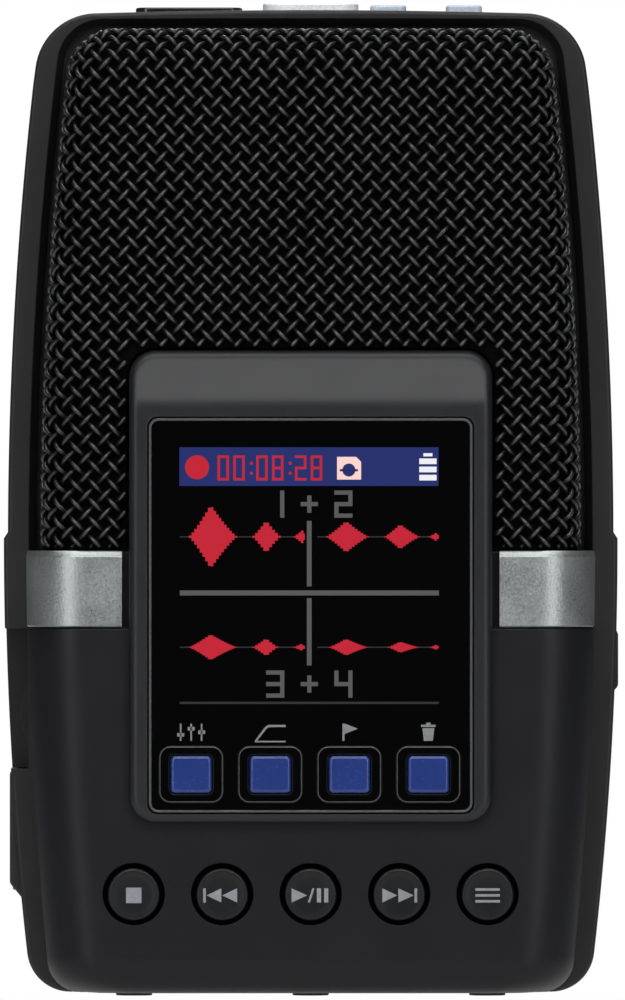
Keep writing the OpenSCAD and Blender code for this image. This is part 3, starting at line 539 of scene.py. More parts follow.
DISPLAY_WHITE = glowing("display_white", (0.80, 0.80, 0.84), 0.95)
DISPLAY_PINK = glowing("display_pink", (0.90, 0.62, 0.58), 0.95)


# ---------------------------------------------------------------- woven grilles

WIRE_PITCH = 1.46
WIRE_R = 0.25
WIRE_RISE = 0.245
WIRE_SIDES = 6
WIRE_STEPS = 6
WIRE_REACH = 150                # half the length of a wire before it is trimmed to the grille
RIM_OVERLAP = 2.2               # how far the weave runs down behind the frame's lip


def half_width(w, z):
    """Half width at height z: a long arc of radius SIDE_R that is w wide at the waist."""
    return w - SIDE_R + np.sqrt(SIDE_R ** 2 - (z - WAIST_Z) ** 2)


def grille_surface(s, t, face, inset):
    """Point, outward normal and q at (s, t) on a sheet laid over the grille's form.

    Inside the flat middle the sheet keeps x = s, z = t. Past it, the distance q from the flat
    middle is wrapped as arc length round an edge of radius e: the point moves outwards by
    e sin(q/e) and back by e (1 - cos(q/e)), and then runs straight back.
    """
    e = GRILLE_EDGE - inset
    flat_w = half_width(GRILLE_W, t) - GRILLE_EDGE
    flat_top = GRILLE_TOP - GRILLE_EDGE
    ds = np.maximum(np.abs(s) - flat_w, 0) * np.sign(s)
    dt = np.maximum(t - flat_top, 0)
    q = np.hypot(ds, dt)
    safe = np.where(q > 0, q, 1.0)
    dx, dz = ds / safe, dt / safe
    angle = np.minimum(q / e, math.pi / 2)
    out = e * np.sin(angle)
    back = e * (1 - np.cos(angle)) + np.maximum(q - e * math.pi / 2, 0)
    x = np.clip(s, -flat_w, flat_w) + dx * out
    z = np.minimum(t, flat_top) + dz * out
    y = -(face - inset) + back
    point = np.stack([x, y, z], -1)
    normal = np.stack([np.sin(angle) * dx, -np.cos(angle), np.sin(angle) * dz], -1)
    return point, normal, q


def woven(name, face, notch, flip):
    """Plain weave of two families of round wires at 45 degrees, each wire a tube.

    A wire of one family rises and falls as the cosine of its distance along, and the wires of
    the other family do the opposite, so that each passes over and under in turn.
    """
    reach = (GRILLE_EDGE - WIRE_RISE) * math.pi / 2 + face - GRILLE_EDGE - RAIL_Y + RIM_OVERLAP
    low, high = BAND_TOP + 0.25, GRILLE_TOP - GRILLE_EDGE + reach
    wide = GRILLE_W + reach
    step = WIRE_PITCH / WIRE_STEPS
    turn = np.arange(WIRE_SIDES) * 2 * math.pi / WIRE_SIDES
    count = int((wide + high) / WIRE_PITCH)
    middle = (BAND_TOP + GRILLE_TOP) / 2
    for family, sign in (("warp", 1), ("weft", -1)):
        points, crests, faces, start = [], [], [], 0
        for i in range(-count, count + 1):
            b = np.arange(-WIRE_REACH, WIRE_REACH, step)
            a = i * WIRE_PITCH
            s = (b * sign + a) / math.sqrt(2)
            t = (b - a * sign) / math.sqrt(2) + middle
            _, _, q = grille_surface(s, t, face, 0)
            keep = (t > low) & (t < high) & (np.abs(s) < wide) & (q < reach)
            if notch:
                keep &= ~((np.abs(s) < BEZEL_HALF + 0.35) & (t < BEZEL_TOP + 0.35))
            runs = np.flatnonzero(np.diff(np.concatenate([[0], keep.astype(int), [0]])))
            for first, last in zip(runs[::2], runs[1::2]):
                rows = last - first
                if rows < 4:
                    continue
                point, normal, _ = grille_surface(s[first:last], t[first:last], face,
                                                  WIRE_RISE + WIRE_R)
                wave = np.cos(math.pi * b[first:last] / WIRE_PITCH + math.pi * i)
                point = point + normal * (sign * WIRE_RISE * wave)[:, None]
                along = np.gradient(point, axis=0)
                along /= np.linalg.norm(along, axis=1)[:, None]
                across = np.cross(along, normal)
                across /= np.linalg.norm(across, axis=1)[:, None]
                up = np.cross(across, along)
                ring = point[:, None] + WIRE_R * (np.cos(turn)[None, :, None] * across[:, None]
                                                  + np.sin(turn)[None, :, None] * up[:, None])
                points.append(ring.reshape(-1, 3))
                # Crest runs from 0 where the wire dips under to 1 where it lies on top; the wire's
                # material paints the dips darker as painted shade.
                crests.append(np.repeat(0.5 + 0.5 * sign * wave, WIRE_SIDES))
                faces += grid_faces(rows, WIRE_SIDES, close_cols=True, start=start)
                loop = list(range(start, start + WIRE_SIDES))
                faces.append(loop[::-1])
                faces.append([k + (rows - 1) * WIRE_SIDES for k in loop])
                start += rows * WIRE_SIDES
        pts = np.concatenate(points)
        if flip:
            pts[:, :2] *= -1
        mesh = recalculated(mesh_from(f"{name}_{family}", pts, faces))
        crest = mesh.attributes.new("crest", "FLOAT", "POINT")
        crest.data.foreach_set("value", np.concatenate(crests))
        add_piece(mesh.name, mesh, "body", WIRE_PAINT_SHADED,
                  (name,) if family == "warp" else ())


woven("front_grille", GRILLE_FACE["front"], True, False)
woven("rear_grille", GRILLE_FACE["rear"], False, True)


# ---------------------------------------------------------------- shells, bands and door

def half_plan(z, face, inset, start, back=RAIL_Y, end=None):
    """Right half of a shell's outline at height z, seen from above, from x = start outwards.

    The outline is a rectangle with corners of radius SHELL_EDGE, as wide as the body's side
    arc at that height. Near the foot it draws in along circles: by SHELL_FOOT in depth and by
    SHELL_CORNER in width. It ends at y = back, or on the corner where x = end. An inset may be
    a pair: in depth and in width.
    """
    inset, side_inset = inset if isinstance(inset, tuple) else (inset, inset)
    h = np.maximum(z - FOOT_H - inset, 0)
    foot = SHELL_FOOT - inset / 2
    draw = foot - math.sqrt(foot ** 2 - max(foot - h, 0) ** 2)
    lean = SHELL_CORNER - math.sqrt(SHELL_CORNER ** 2 - max(SHELL_CORNER - h, 0) ** 2)
    w = half_width(SHELL_W, z) - side_inset - lean
    d = face - inset - draw
    r = SHELL_EDGE - inset
    last = math.pi / 2 if end is None else math.asin(min(0.9, (end - w + r) / r))
    flat = np.linspace(start, w - r, 22)
    a = np.linspace(0, last, 15)[1:]
    x = np.concatenate([flat, w - r + r * np.sin(a)])
    y = np.concatenate([np.full(len(flat), d), d - r + r * np.cos(a)])
    if end is None:
        side = np.linspace(d - r, back, 5)[1:]
        x = np.concatenate([x, np.full(len(side), w)])
        y = np.concatenate([y, side])
    return np.stack([x, y, np.full(len(x), z)], -1)


def whole_plan(z, face, inset, back=RAIL_Y, end=None):
    right = half_plan(z, face, inset, 0.0, back, end)
    left = right[:0:-1] * (-1, 1, 1)
    return np.concatenate([left, right])


def front_side(points):
    """Turns points made towards +y over to the front, with x kept."""
    return np.asarray(points) * (1, -1, 1)


def walled(out, ins):
    """Points and faces of a wall between an outer and an inner grid, closed along the sides
    and the top, and across the bottom."""
    rows, cols = out.shape[:2]
    n = rows * cols
    faces = grid_faces(rows, cols) + grid_faces(rows, cols, start=n)
    for k in range(rows - 1):
        for c in (0, cols - 1):
            p, q = k * cols + c, (k + 1) * cols + c
            faces.append([p, q, q + n, p + n])
    top_row = (rows - 1) * cols
    faces += [[top_row + c, top_row + c + 1, top_row + c + 1 + n, top_row + c + n]
              for c in range(cols - 1)]
    faces += [list(range(cols)), [n + c for c in range(cols)], [0, cols - 1, n + cols - 1, n]]
    return np.concatenate([out.reshape(-1, 3), ins.reshape(-1, 3)]), faces


def shell_solid(face, front):
    """A lower shell: outer and inner surfaces joined along the rims, with the band's step."""
    rise = [FOOT_H + SHELL_FOOT * (1 - math.cos(a)) for a in np.linspace(0, math.pi / 2, 9)]
    step = BAND_BOTTOM - 0.1
    top = np.linspace(rise[-1], step - 0.2, 10)[1:]
    inner_step = BAND_WALL + 0.1
    outer = [(z, 0.0) for z in rise] + [(z, 0.0) for z in top]
    outer += [(step, 0.2), (step, inner_step), (BAND_TOP - 0.2, inner_step),
              (BAND_TOP, inner_step + 0.2)]
    floor = FOOT_H + SHELL_WALL
    inner = [(max(z, floor), SHELL_WALL) for z, _ in outer[:len(rise) + len(top)]]
    inner += [(step - 1.5, SHELL_WALL), (step - 1.5, SHELL_WALL + inner_step),
              (BAND_TOP - 0.2, SHELL_WALL + inner_step), (BAND_TOP, SHELL_WALL + inner_step)]
    inner[len(rise) + len(top) - 1] = (step - 2.0, SHELL_WALL)
    out = np.array([whole_plan(z, face, i) for z, i in outer])
    ins = np.array([whole_plan(z, face, i) for z, i in inner])
    pts, faces = walled(out, ins)
    if front:
        pts = front_side(pts)
    return recalculated(mesh_from("shell", pts, faces))


def rod(centre, axis, radius, length, sides=48):
    return turned(centre, axis, [(radius, 0), (radius, length)], sides)


def swept_band(name, face, front, start, mirror=False):
    """A metal band round a shell, with a bevelled upper edge. The section is a closed loop of
    (height, inset) corners, carried along the shell's outline."""
    section = [(BAND_BOTTOM, 0.15), (BAND_BOTTOM + 0.15, 0.0), (BAND_TOP - 4, 0.0),
               (BAND_TOP - 0.72, 0.0), (BAND_TOP - 0.58, (0.07, 0.02)),
               (BAND_TOP - 0.1, (0.5, 0.1)), (BAND_TOP, (0.62, 0.16)), (BAND_TOP, BAND_WALL),
               (BAND_BOTTOM, BAND_WALL)]
    back = RAIL_Y + 0.1
    if start is None:
        grid = np.array([whole_plan(z, face, i, back) for z, i in section])
    else:
        grid = np.array([half_plan(z, face, i, start, back) for z, i in section])
    rows, cols = grid.shape[:2]
    faces = grid_faces(rows, cols, close_rows=True)
    faces += [[k * cols for k in range(rows)], [k * cols + cols - 1 for k in range(rows)]]
    pts = grid.reshape(-1, 3)
    if front:
        pts = front_side(pts)
    if mirror:
        pts = pts * (-1, 1, 1)
    mesh = recalculated(mesh_from(name + "_finish", pts, faces))
    mesh.set_sharp_from_angle(angle=math.radians(40))
    piece = add_piece(mesh.name, mesh, "body", BAND_PAINT, (name,))
    round_edges(piece, 0.0)


GRIP_LOW, GRIP_STEP, GRIP_COUNT, GRIP_HALF = 31.0, 1.6, 5, 8.0


def grip_depth(x, z):
    """Depth of the door's grip at (x, z): round grooves, each run out smoothly at its ends."""
    k = np.clip(np.round((z - GRIP_LOW) / GRIP_STEP), 0, GRIP_COUNT - 1)
    off = np.abs(z - GRIP_LOW - k * GRIP_STEP)
    groove = np.sqrt(np.maximum(0.62 ** 2 - off ** 2, 0)) * 0.55
    ends = np.clip((GRIP_HALF - np.abs(x)) / 0.8, 0, 1)
    return groove * np.sqrt(ends)


def battery_door():
    """The sliding door: the shell's own surface up to its top edge, with grip grooves, and
    the flat underside that reaches forward to the door's front edge."""
    face = SHELL_FACE["rear"]
    low = [FOOT_H + SHELL_FOOT * (1 - math.cos(a)) for a in np.linspace(0, math.pi / 2, 9)]
    heights = low + list(np.linspace(low[-1], 29.8, 10)[1:]) + list(np.arange(30.0, 38.6, 0.1))
    heights += [DOOR_TOP - 0.2, DOOR_TOP]
    out = np.array([whole_plan(z, face, 0.2 * (z == DOOR_TOP), end=DOOR_HALF) for z in heights])
    out[..., 1] -= grip_depth(out[..., 0], out[..., 2])
    ins = np.array([whole_plan(max(z, FOOT_H + DOOR_WALL), face, DOOR_WALL, end=DOOR_HALF - 0.3)
                    for z in heights])
    out, ins = (np.concatenate([grid[:1] * (1, 0, 1) + (0, DOOR_BACK, 0), grid])
                for grid in (out, ins))
    for grid in (out, ins):
        grid[..., 1] = np.maximum(grid[..., 1], DOOR_BACK)
    pts, faces = walled(out, ins)
    mesh = recalculated(mesh_from("battery_door_finish", pts, faces))
    mesh.set_sharp_from_angle(angle=math.radians(50))
    piece = add_piece(mesh.name, mesh, "battery_door", SHELL_PLASTIC,
                      ("battery_door",))
    round_edges(piece, 0.0)


def lower_shells():
    holes = [rod((i * BUTTON_PITCH, -30, BUTTON_Z), (0, 1, 0), BUTTON_HOLE / 2, 14, 64)
             for i in range(-2, 3)]
    opening = prism(rounded_loop(2 * BEZEL_HALF - 1.2, BEZEL_TOP - BEZEL_BOTTOM - 1.2, 2.4, 0,
                                 (BEZEL_BOTTOM + BEZEL_TOP) / 2), "y", -30, -10)
    for side, cutters in (("front", holes + [opening]),
                          ("rear", [block(-DOOR_HALF - 0.1, DOOR_HALF + 0.1, DOOR_BACK - 0.1, 40,
                                          -1, DOOR_TOP + 0.1)])):
        screws = [rod((x, SCREW_Y[side], -1), (0, 0, 1), SCREW_HOLE, 2.1, 32)
                  for x in (-SCREW_X, SCREW_X)]
        mesh = cut(shell_solid(SHELL_FACE[side], side == "front"), *cutters, *screws)
        mesh.name = side + "_shell_finish"
        piece = add_piece(mesh.name, mesh, "body", SHELL_PLASTIC,
                          (side + "_shell",))
        round_edges(piece, 0.12, 2, 50)


lower_shells()
swept_band("front_band_left", SHELL_FACE["front"], True, BEZEL_HALF + 0.8, mirror=True)
swept_band("front_band_right", SHELL_FACE["front"], True, BEZEL_HALF + 0.8)
swept_band("rear_band", SHELL_FACE["rear"], False, None)
battery_door()


# ---------------------------------------------------------------- display surround and window

def bezel_depth(z):
    """Depth of the surround's face at height z: level, then sloping back above the brow."""
    soft = 0.3
    slope = (BEZEL_FACE - 19.1) / (BEZEL_TOP - BEZEL_BROW)
    return -BEZEL_FACE + slope * soft * np.log1p(np.exp((z - BEZEL_BROW) / soft))


def bezel():
    """Raised surround: rounded loops from its skirt over the rounded edge, across the face and
    down into the window's opening. Each loop's depth follows bezel_depth."""
    outer_mid = (BEZEL_BOTTOM + BEZEL_TOP) / 2
    window_mid = (WINDOW_BOTTOM + WINDOW_TOP) / 2
    grid = dict(corner=10, tall=60, wide=16)

    def outer(inset):
        return rounded_loop(2 * BEZEL_HALF - 2 * inset, BEZEL_TOP - BEZEL_BOTTOM - 2 * inset,
                            3 - inset * 0.8, 0, outer_mid, **grid)

    def inner(grow):
        return rounded_loop(2 * WINDOW_HALF + 0.1 + 2 * grow, WINDOW_TOP - WINDOW_BOTTOM + 0.1
                            + 2 * grow, 1.1 + grow, 0, window_mid, **grid)

    def level(loop, y):
        return np.stack([loop[:, 0], np.full(len(loop), y), loop[:, 1]], -1)

    def on_face(loop, sunk):
        return np.stack([loop[:, 0], bezel_depth(loop[:, 1]) + sunk, loop[:, 1]], -1)

    base = outer(0)
    base_y = np.where(base[:, 1] < BAND_TOP + 0.2, -SHELL_FACE["front"], -17.2)
    rows = [level(inner(-0.1), -15.0), level(outer(0.8), -15.0), level(outer(0.8), -17.2)]
    rows.append(np.stack([base[:, 0], base_y, base[:, 1]], -1))
    edge = 1.0
    for a in np.linspace(0, math.pi / 2, 7):
        rows.append(on_face(outer(edge * (1 - math.cos(a))), edge * (1 - math.sin(a))))
    start, end = outer(edge), inner(0.12)
    for k in np.linspace(0, 1, 15)[1:]:
        rows.append(on_face(start + (end - start) * k, 0))
    rows += [on_face(inner(0.04), 0.05), on_face(inner(0), 0.14), level(inner(0), -19.6),
             level(inner(-0.1), -19.6)]
    pts = np.concatenate(rows)
    faces = grid_faces(len(rows), len(rows[0]), close_rows=True, close_cols=True)
    mesh = recalculated(mesh_from("bezel_finish", pts, faces))
    mesh.set_sharp_from_angle(angle=math.radians(50))
    piece = add_piece(mesh.name, mesh, "body", SURROUND_PLASTIC, ("bezel",))
    round_edges(piece, 0.0)


def rim_tubes(name, loops, radius):
    """Thin rounded rims that follow rounded rectangles on the window. They catch real reflections,
    and their grey, paler than the black round them, is a painted highlight along the edges.
    """
    parts = []
    for w, h, r, cx, cz, y in loops:
        loop = rounded_loop(w, h, r, cx, cz, corner=8, tall=4, wide=4)
        parts.append(tube(np.stack([loop[:, 0], np.full(len(loop), y), loop[:, 1]], -1), radius,
                          8, closed=True))
    mesh = recalculated(mesh_from(name, *joined(*parts)))
    add_piece(name, mesh, "body", RIM_HIGHLIGHT_GREY)


bezel()
finished_copy("display_window", WINDOW_GLOSS, 0.12)
rim_tubes("window_rim", [(2 * WINDOW_HALF - 0.45, WINDOW_TOP - WINDOW_BOTTOM - 0.45, 0.95, 0,
                          (WINDOW_BOTTOM + WINDOW_TOP) / 2, -WINDOW_FACE)], 0.17)
rim_tubes("collar_rims", [(KEY_W + 2.25, KEY_H + 1.85, 1.1, x, KEY_Z, -WINDOW_FACE - 0.2)
                          for x in KEY_X], 0.1)


# ---------------------------------------------------------------- what the display shows

SCREEN_Y = -WINDOW_FACE
LINE_LEFT, LINE_RIGHT = -14.4, 14.1
SEGMENTS = {"0": "abcdef", "1": "bc", "2": "abged", "3": "abgcd", "4": "fgbc", "8": "abcdefg"}


def bar(x0, x1, z0, z1):
    return [(x0, z0), (x1, z0), (x1, z1), (x0, z1)]


def disc(cx, cz, r, n=40):
    return [(cx + r * math.cos(2 * math.pi * i / n), cz + r * math.sin(2 * math.pi * i / n))
            for i in range(n)]


def digit(char, x, z, w, h, t):
    """Bars of one seven-segment numeral whose lower left corner is (x, z)."""
    on = SEGMENTS[char]
    m = z + h / 2
    top, low = z + h - t * ("a" in on), z + t * ("d" in on)
    gap = t / 2 * ("g" in on)
    bars = {
        "a": bar(x, x + w, z + h - t, z + h), "g": bar(x, x + w, m - t / 2, m + t / 2),
        "d": bar(x, x + w, z, z + t), "f": bar(x, x + t, m + gap, top),
        "e": bar(x, x + t, low, m - gap), "b": bar(x + w - t, x + w, m + gap, top),
        "c": bar(x + w - t, x + w, low, m - gap),
    }
    return [bars[s] for s in on]


def plus(cx, cz, reach, t):
    """Outline of a plus sign."""
    h = t / 2
    corner = [(h, h), (h, reach), (-h, reach)]
    return [(cx + x * math.cos(a) - z * math.sin(a), cz + x * math.sin(a) + z * math.cos(a))
            for a in (0, math.pi / 2, math.pi, 3 * math.pi / 2) for x, z in corner]


def shown(name, outlines, material, y=SCREEN_Y, body="body", t=0.03):
    """Flat marks, each a thin plate standing t proud of the surface at y."""
    mesh = mesh_from(name, *joined(*[plate(o, y - t, y + 0.02) for o in outlines]), smooth=False)
    return add_piece(name, recalculated(mesh, 0), body, material)


def trace(x0, peak, x1, z, half, stair=0.3):
    """A burst of sound: steps that grow to the peak and die away again."""
    bars = []
    for low, high in ((x0, peak), (peak, x1)):
        steps = max(1, round((high - low) / stair))
        for k in range(steps):
            x, after = (low + (high - low) * i / steps for i in (k, k + 1))
            share = ((k + 0.5) if high == peak else (steps - k - 0.5)) / steps
            h = half * share ** 1.2
            bars.append(bar(x, after, z - h, z + h))
    return bars


def display():
    shown("display_header", [bar(-14.45, 14.06, 56.25, 60.5)], BAR_BLUE)
    red = [disc(-12.5, 58.3, 1.32)]
    x = -10.25
    for char in "00:08:28":
        if char == ":":
            red += [disc(x + 0.25, 58.75, 0.17, 12), disc(x + 0.25, 57.65, 0.17, 12)]
            x += 0.78
        else:
            red += digit(char, x, 56.85, 1.25, 2.75, 0.27)
            x += 1.74
    shown("display_counter", red, TRACE_RED, SCREEN_Y - 0.03)
    top, low = 50.65, 38.5
    bursts = [(-13.4, -11.0, -8.1, top, 3.45), (-6.4, -4.9, -3.3, top, 1.75),
              (-1.9, -0.8, -0.65, top, 0.8), (1.7, 3.9, 6.4, top, 1.7),
              (8.1, 9.85, 12.0, top, 1.35),
              (13.0, 13.9, 14.1, top, 0.5), (-13.4, -11.0, -8.1, low, 1.4),
              (-6.4, -4.9, -3.6, low, 0.95), (-1.9, -0.9, -0.65, low, 0.4),
              (2.0, 3.9, 6.3, low, 0.9), (8.5, 9.85, 11.9, low, 0.6), (13.1, 13.9, 14.1, low, 0.3)]
    shown("display_traces", [b for burst in bursts for b in trace(*burst)], TRACE_RED,
          SCREEN_Y - 0.02)
    centre = [bar(x0, x1, z - 0.06, z + 0.06) for z in (top, low)
              for x0, x1 in ((LINE_LEFT, -0.6), (0.75, LINE_RIGHT))]
    shown("display_guides", centre + [bar(LINE_LEFT, LINE_RIGHT, 32.25, 32.5)], DISPLAY_DIM)
    grey = [bar(LINE_LEFT, LINE_RIGHT, 44.2, 44.75), bar(-0.42, 0.1, 45.2, 52.4),
            bar(-0.42, 0.1, 36.5, 43.9)]
    for chars, z in (("12", 52.75), ("34", 32.95)):
        grey += digit(chars[0], -4.9, z, 2.0, 3.0, 0.46) + digit(chars[1], 2.6, z, 2.0, 3.0, 0.46)
        grey.append(plus(-0.15, z + 1.5, 0.95, 0.46))
    shown("display_headings", grey, DISPLAY_GREY)
    white = [bar(12.4, 13.4, 59.5, 59.85)] + [bar(11.95, 13.85, z, z + 0.62)
                                              for z in (56.85, 57.75, 58.65)]
    shown("display_battery", white, DISPLAY_WHITE, SCREEN_Y - 0.03)
    shown("display_card", [[(2.9, 56.95), (5.55, 56.95), (5.55, 58.9), (5.0, 59.45), (2.9, 59.45)]],
          DISPLAY_PINK, SCREEN_Y - 0.03)
    shown("display_card_mark", [disc(4.2, 58.0, 0.72), bar(3.2, 5.2, 57.85, 58.1)], BAR_BLUE,
          SCREEN_Y - 0.06)


def key_signs():
    """Pictures printed over the function keys: faders, a low-cut curve, a flag and a bin."""
    z0, z1 = 28.2, 30.1
    x = KEY_X[0]
    signs = []
    for k, knob in enumerate((0.35, 0.7, 0.5)):
        cx = x + (k - 1) * 1.15
        signs += [bar(cx - 0.09, cx + 0.09, z0, z1)]
        knob_z = z0 + knob * (z1 - z0)
        signs += [bar(cx - 0.38, cx + 0.38, knob_z - 0.2, knob_z + 0.2)]
    x = KEY_X[1]
    curve = [(x - 1.7, z0), (x - 1.45, z0), (x - 0.35, z1 - 0.5), (x - 0.1, z1 - 0.38),
             (x + 1.7, z1 - 0.38), (x + 1.7, z1 - 0.14), (x - 0.2, z1 - 0.14),
             (x - 0.55, z1 - 0.36)]
    signs += [curve, bar(x - 1.7, x + 1.7, z0 - 0.16, z0)]
    x = KEY_X[2]
    signs += [bar(x - 0.75, x - 0.53, z0, z1), [(x - 0.53, z1), (x - 0.53, z1 - 1.15),
                                                (x + 0.95, z1 - 0.57)]]
    x = KEY_X[3]
    signs += [[(x - 0.5, z0), (x + 0.5, z0), (x + 0.66, z1 - 0.5), (x - 0.66, z1 - 0.5)],
              bar(x - 0.8, x + 0.8, z1 - 0.38, z1 - 0.12),
              bar(x - 0.25, x + 0.25, z1 - 0.12, z1 + 0.1)]
    shown("key_signs", signs, KEY_INK, SCREEN_Y, "body", 0.02)


display()
key_signs()


# ---------------------------------------------------------------- buttons and keys

def transport_icons():
    """Signs on the five round caps, each a list of outlines about the cap's middle."""
    h = 0.78

    def triangle(base, tip):
        low = -h if tip < base else h
        return [(base, low), (base, -low), (tip, 0)]

    return {
        "stop": [bar(-0.85, 0.85, -0.85, 0.85)],
        "rewind": [bar(-2.1, -1.8, -h, h), triangle(-0.1, -1.72), triangle(1.65, 0.0)],
        "play": [triangle(-2.1, -0.4), [(-0.32, -h), (-0.08, -h), (0.42, h), (0.18, h)],
                 bar(0.68, 1.14, -h, h), bar(1.48, 1.94, -h, h)],
        "forward": [triangle(-1.85, -0.2), triangle(-0.1, 1.6), bar(1.68, 1.98, -h, h)],
        "menu": [bar(-1.35, 1.35, z - 0.14, z + 0.14) for z in (-0.65, 0.0, 0.65)],
    }


def round_buttons():
    """Five caps, turned: a dished face inside a rounded rim, and a flange behind the shell,
    coloured near black as painted shade in the gap round each cap.
    """
    icons = transport_icons()
    r = BUTTON_D / 2
    profile = [(0, 0.12), (0.6 * r, 0.11), (0.76 * r, 0.07), (0.84 * r, 0.01), (0.9 * r, 0.0),
               (0.95 * r, 0.05), (0.985 * r, 0.16), (r, 0.36), (r, 2.3), (0, 2.3)]
    flange = [(0, 2.3), (3.9, 2.3), (3.9, 3.1), (0, 3.1)]
    for i, name in enumerate(BUTTONS):
        centre = ((i - 2) * BUTTON_PITCH, -BUTTON_FRONT, BUTTON_Z)
        node = name + "_button"
        mesh = recalculated(mesh_from(node + "_finish", *turned(centre, (0, 1, 0), profile, 96)))
        mesh.set_sharp_from_angle(angle=math.radians(60))
        add_piece(mesh.name, mesh, node, BUTTON_PLASTIC, (node,))
        # The flange is near black: painted shade for the deep gap between the cap and the shell.
        shape = turned(centre, (0, 1, 0), flange, 64)
        mesh = recalculated(mesh_from(node + "_flange", *shape, False))
        add_piece(mesh.name, mesh, node, FLANGE_SHADE_BLACK)
        moved = [[(x + centre[0], z + centre[2] - 0.12) for x, z in o] for o in icons[name]]
        shown(node + "_sign", moved, ICON_INK, -BUTTON_FRONT + 0.12, node, 0.08)


def blue_keys():
    """Four caps: rounded loops that run from the flange up the sides and, over a quarter of an
    ellipse KEY_EDGE wide, in to a flat face."""
    for i, x in enumerate(KEY_X):
        node = f"function_key_{i + 1}"
        (_, front, _), (_, back, _) = np.array(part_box(node)) / MM

        def level(grow, y):
            loop = rounded_loop(KEY_W + grow, KEY_H + grow, 0.5 + grow / 10, x, KEY_Z)
            return np.stack([loop[:, 0], np.full(len(loop), y), loop[:, 1]], -1)

        rows = [level(1, back), level(1, KEY_FLANGE), level(0, KEY_FLANGE)]
        rows += [level(-2 * KEY_EDGE * (1 - math.cos(a)), front + KEY_SOFT * (1 - math.sin(a)))
                 for a in np.linspace(0, math.pi / 2, 7)]
        cols = len(rows[0])
        faces = grid_faces(len(rows), cols, close_cols=True)
        faces += [list(range(cols)), [(len(rows) - 1) * cols + k for k in range(cols)][::-1]]
        mesh = recalculated(mesh_from(node + "_finish", np.concatenate(rows), faces))
        mesh.set_sharp_from_angle(angle=math.radians(50))
        piece = add_piece(mesh.name, mesh, node, BLUE_KEY, (node,))
        round_edges(piece, 0.0)


round_buttons()
blue_keys()
finished_copy("record_button", RECORD_SILVER, 0.35, 4)
finished_copy("front_mic_button", GREY_KEY, 0.3, 4)
finished_copy("rear_mic_button", GREY_KEY, 0.3, 4)
finished_copy("lamp_window", SMOKED_LENS, 0.2)
finished_copy("side_cover", RUBBER, 0.2)
finished_copy("power_slider", RUBBER, 0.2)
finished_copy("volume_wheel", RUBBER, 0.08, 2)


# ---------------------------------------------------------------- frame

FRAME_W, FRAME_TOP, CROWN_R = 33.5, 108.9, 800.0
HIP_W, HIP_R, HIP_Z = 33.95, 400.0, 50.8
TOP_CORNER, BOTTOM_CORNER = 6.8, 4.8
RAIL_T, ROOF_T, INNER_CORNER = 3.1, 1.7, 4.2
LIP_LOW, LIP_HIGH, LIP_W = 4.8, 6.0, 2.1
EDGE_R, BEVEL_W, BEVEL_D = 0.45, 0.85, 1.1

# What is cut out of the frame: past its outside, then each recess and opening
CLEAR_X = 45.0
DIAL_SPACE = {"x": -26.2, "y": -5.3, "z": 31.3, "r": 6.3, "t": 3.6}
DIAL_FLAT = {"x": -31.2, "y": 3.5, "z": (25.0, 40.5)}
COVER_RECESS = {"depth": 1.35, "z": (9.9, 32.1), "y": (-7.75, 6.8)}
SLIDER_RECESS = {"depth": 0.9, "z": (33.4, 43.0), "y": (-2.5, 2.5)}
SLIDER_SLOT = {"y": (-1, 1), "z": (36, 40.5)}
CARD_SLOT = {"y": (-7.05, -4.9), "z": (20.8, 33.2)}
PLUG_HOLE = {"w": 3.7, "h": 9.5, "r": 1.5, "y": -5.4, "z": 14.5}
TOP_HOLES = ((10.8, 5.8, 2.4, 0.0), (11.8, 3.2, 1.5, -13.5), (4.2, 4.2, 1.0, 8.6),
             (4.2, 4.2, 1.0, 17.0))  # width, depth, corner, x
JACK_Y, JACK_Z, JACK_R = -4, (14, 21), 2.6
STRAP_Z, STRAP_H = (4.6, 7.6), 1.7
INSERT_Y = -3.2
LUG_HALF, POST_X, POST_Z = 2.6, 22.6, 102.4
PAD = [(-30.9, 10.6), (-31.9, 10.6), (-33.3, 12.3), (-33.3, 24.6), (-32.8, 25.0), (-31.0, 25.0)]


def corner_arc(cx, cz, r, a0, a1, n):
    """n + 1 points of a circle about (cx, cz), from angle a0 to a1."""
    a = np.linspace(a0, a1, n + 1)
    return np.stack([cx + r * np.cos(a), cz + r * np.sin(a)], -1)


def side_arc(w, r, z):
    """Points of the long arched side at heights z: a circle of radius r, widest at the waist."""
    return np.stack([w - r + np.sqrt(r * r - (z - WAIST_Z) ** 2), z], -1)


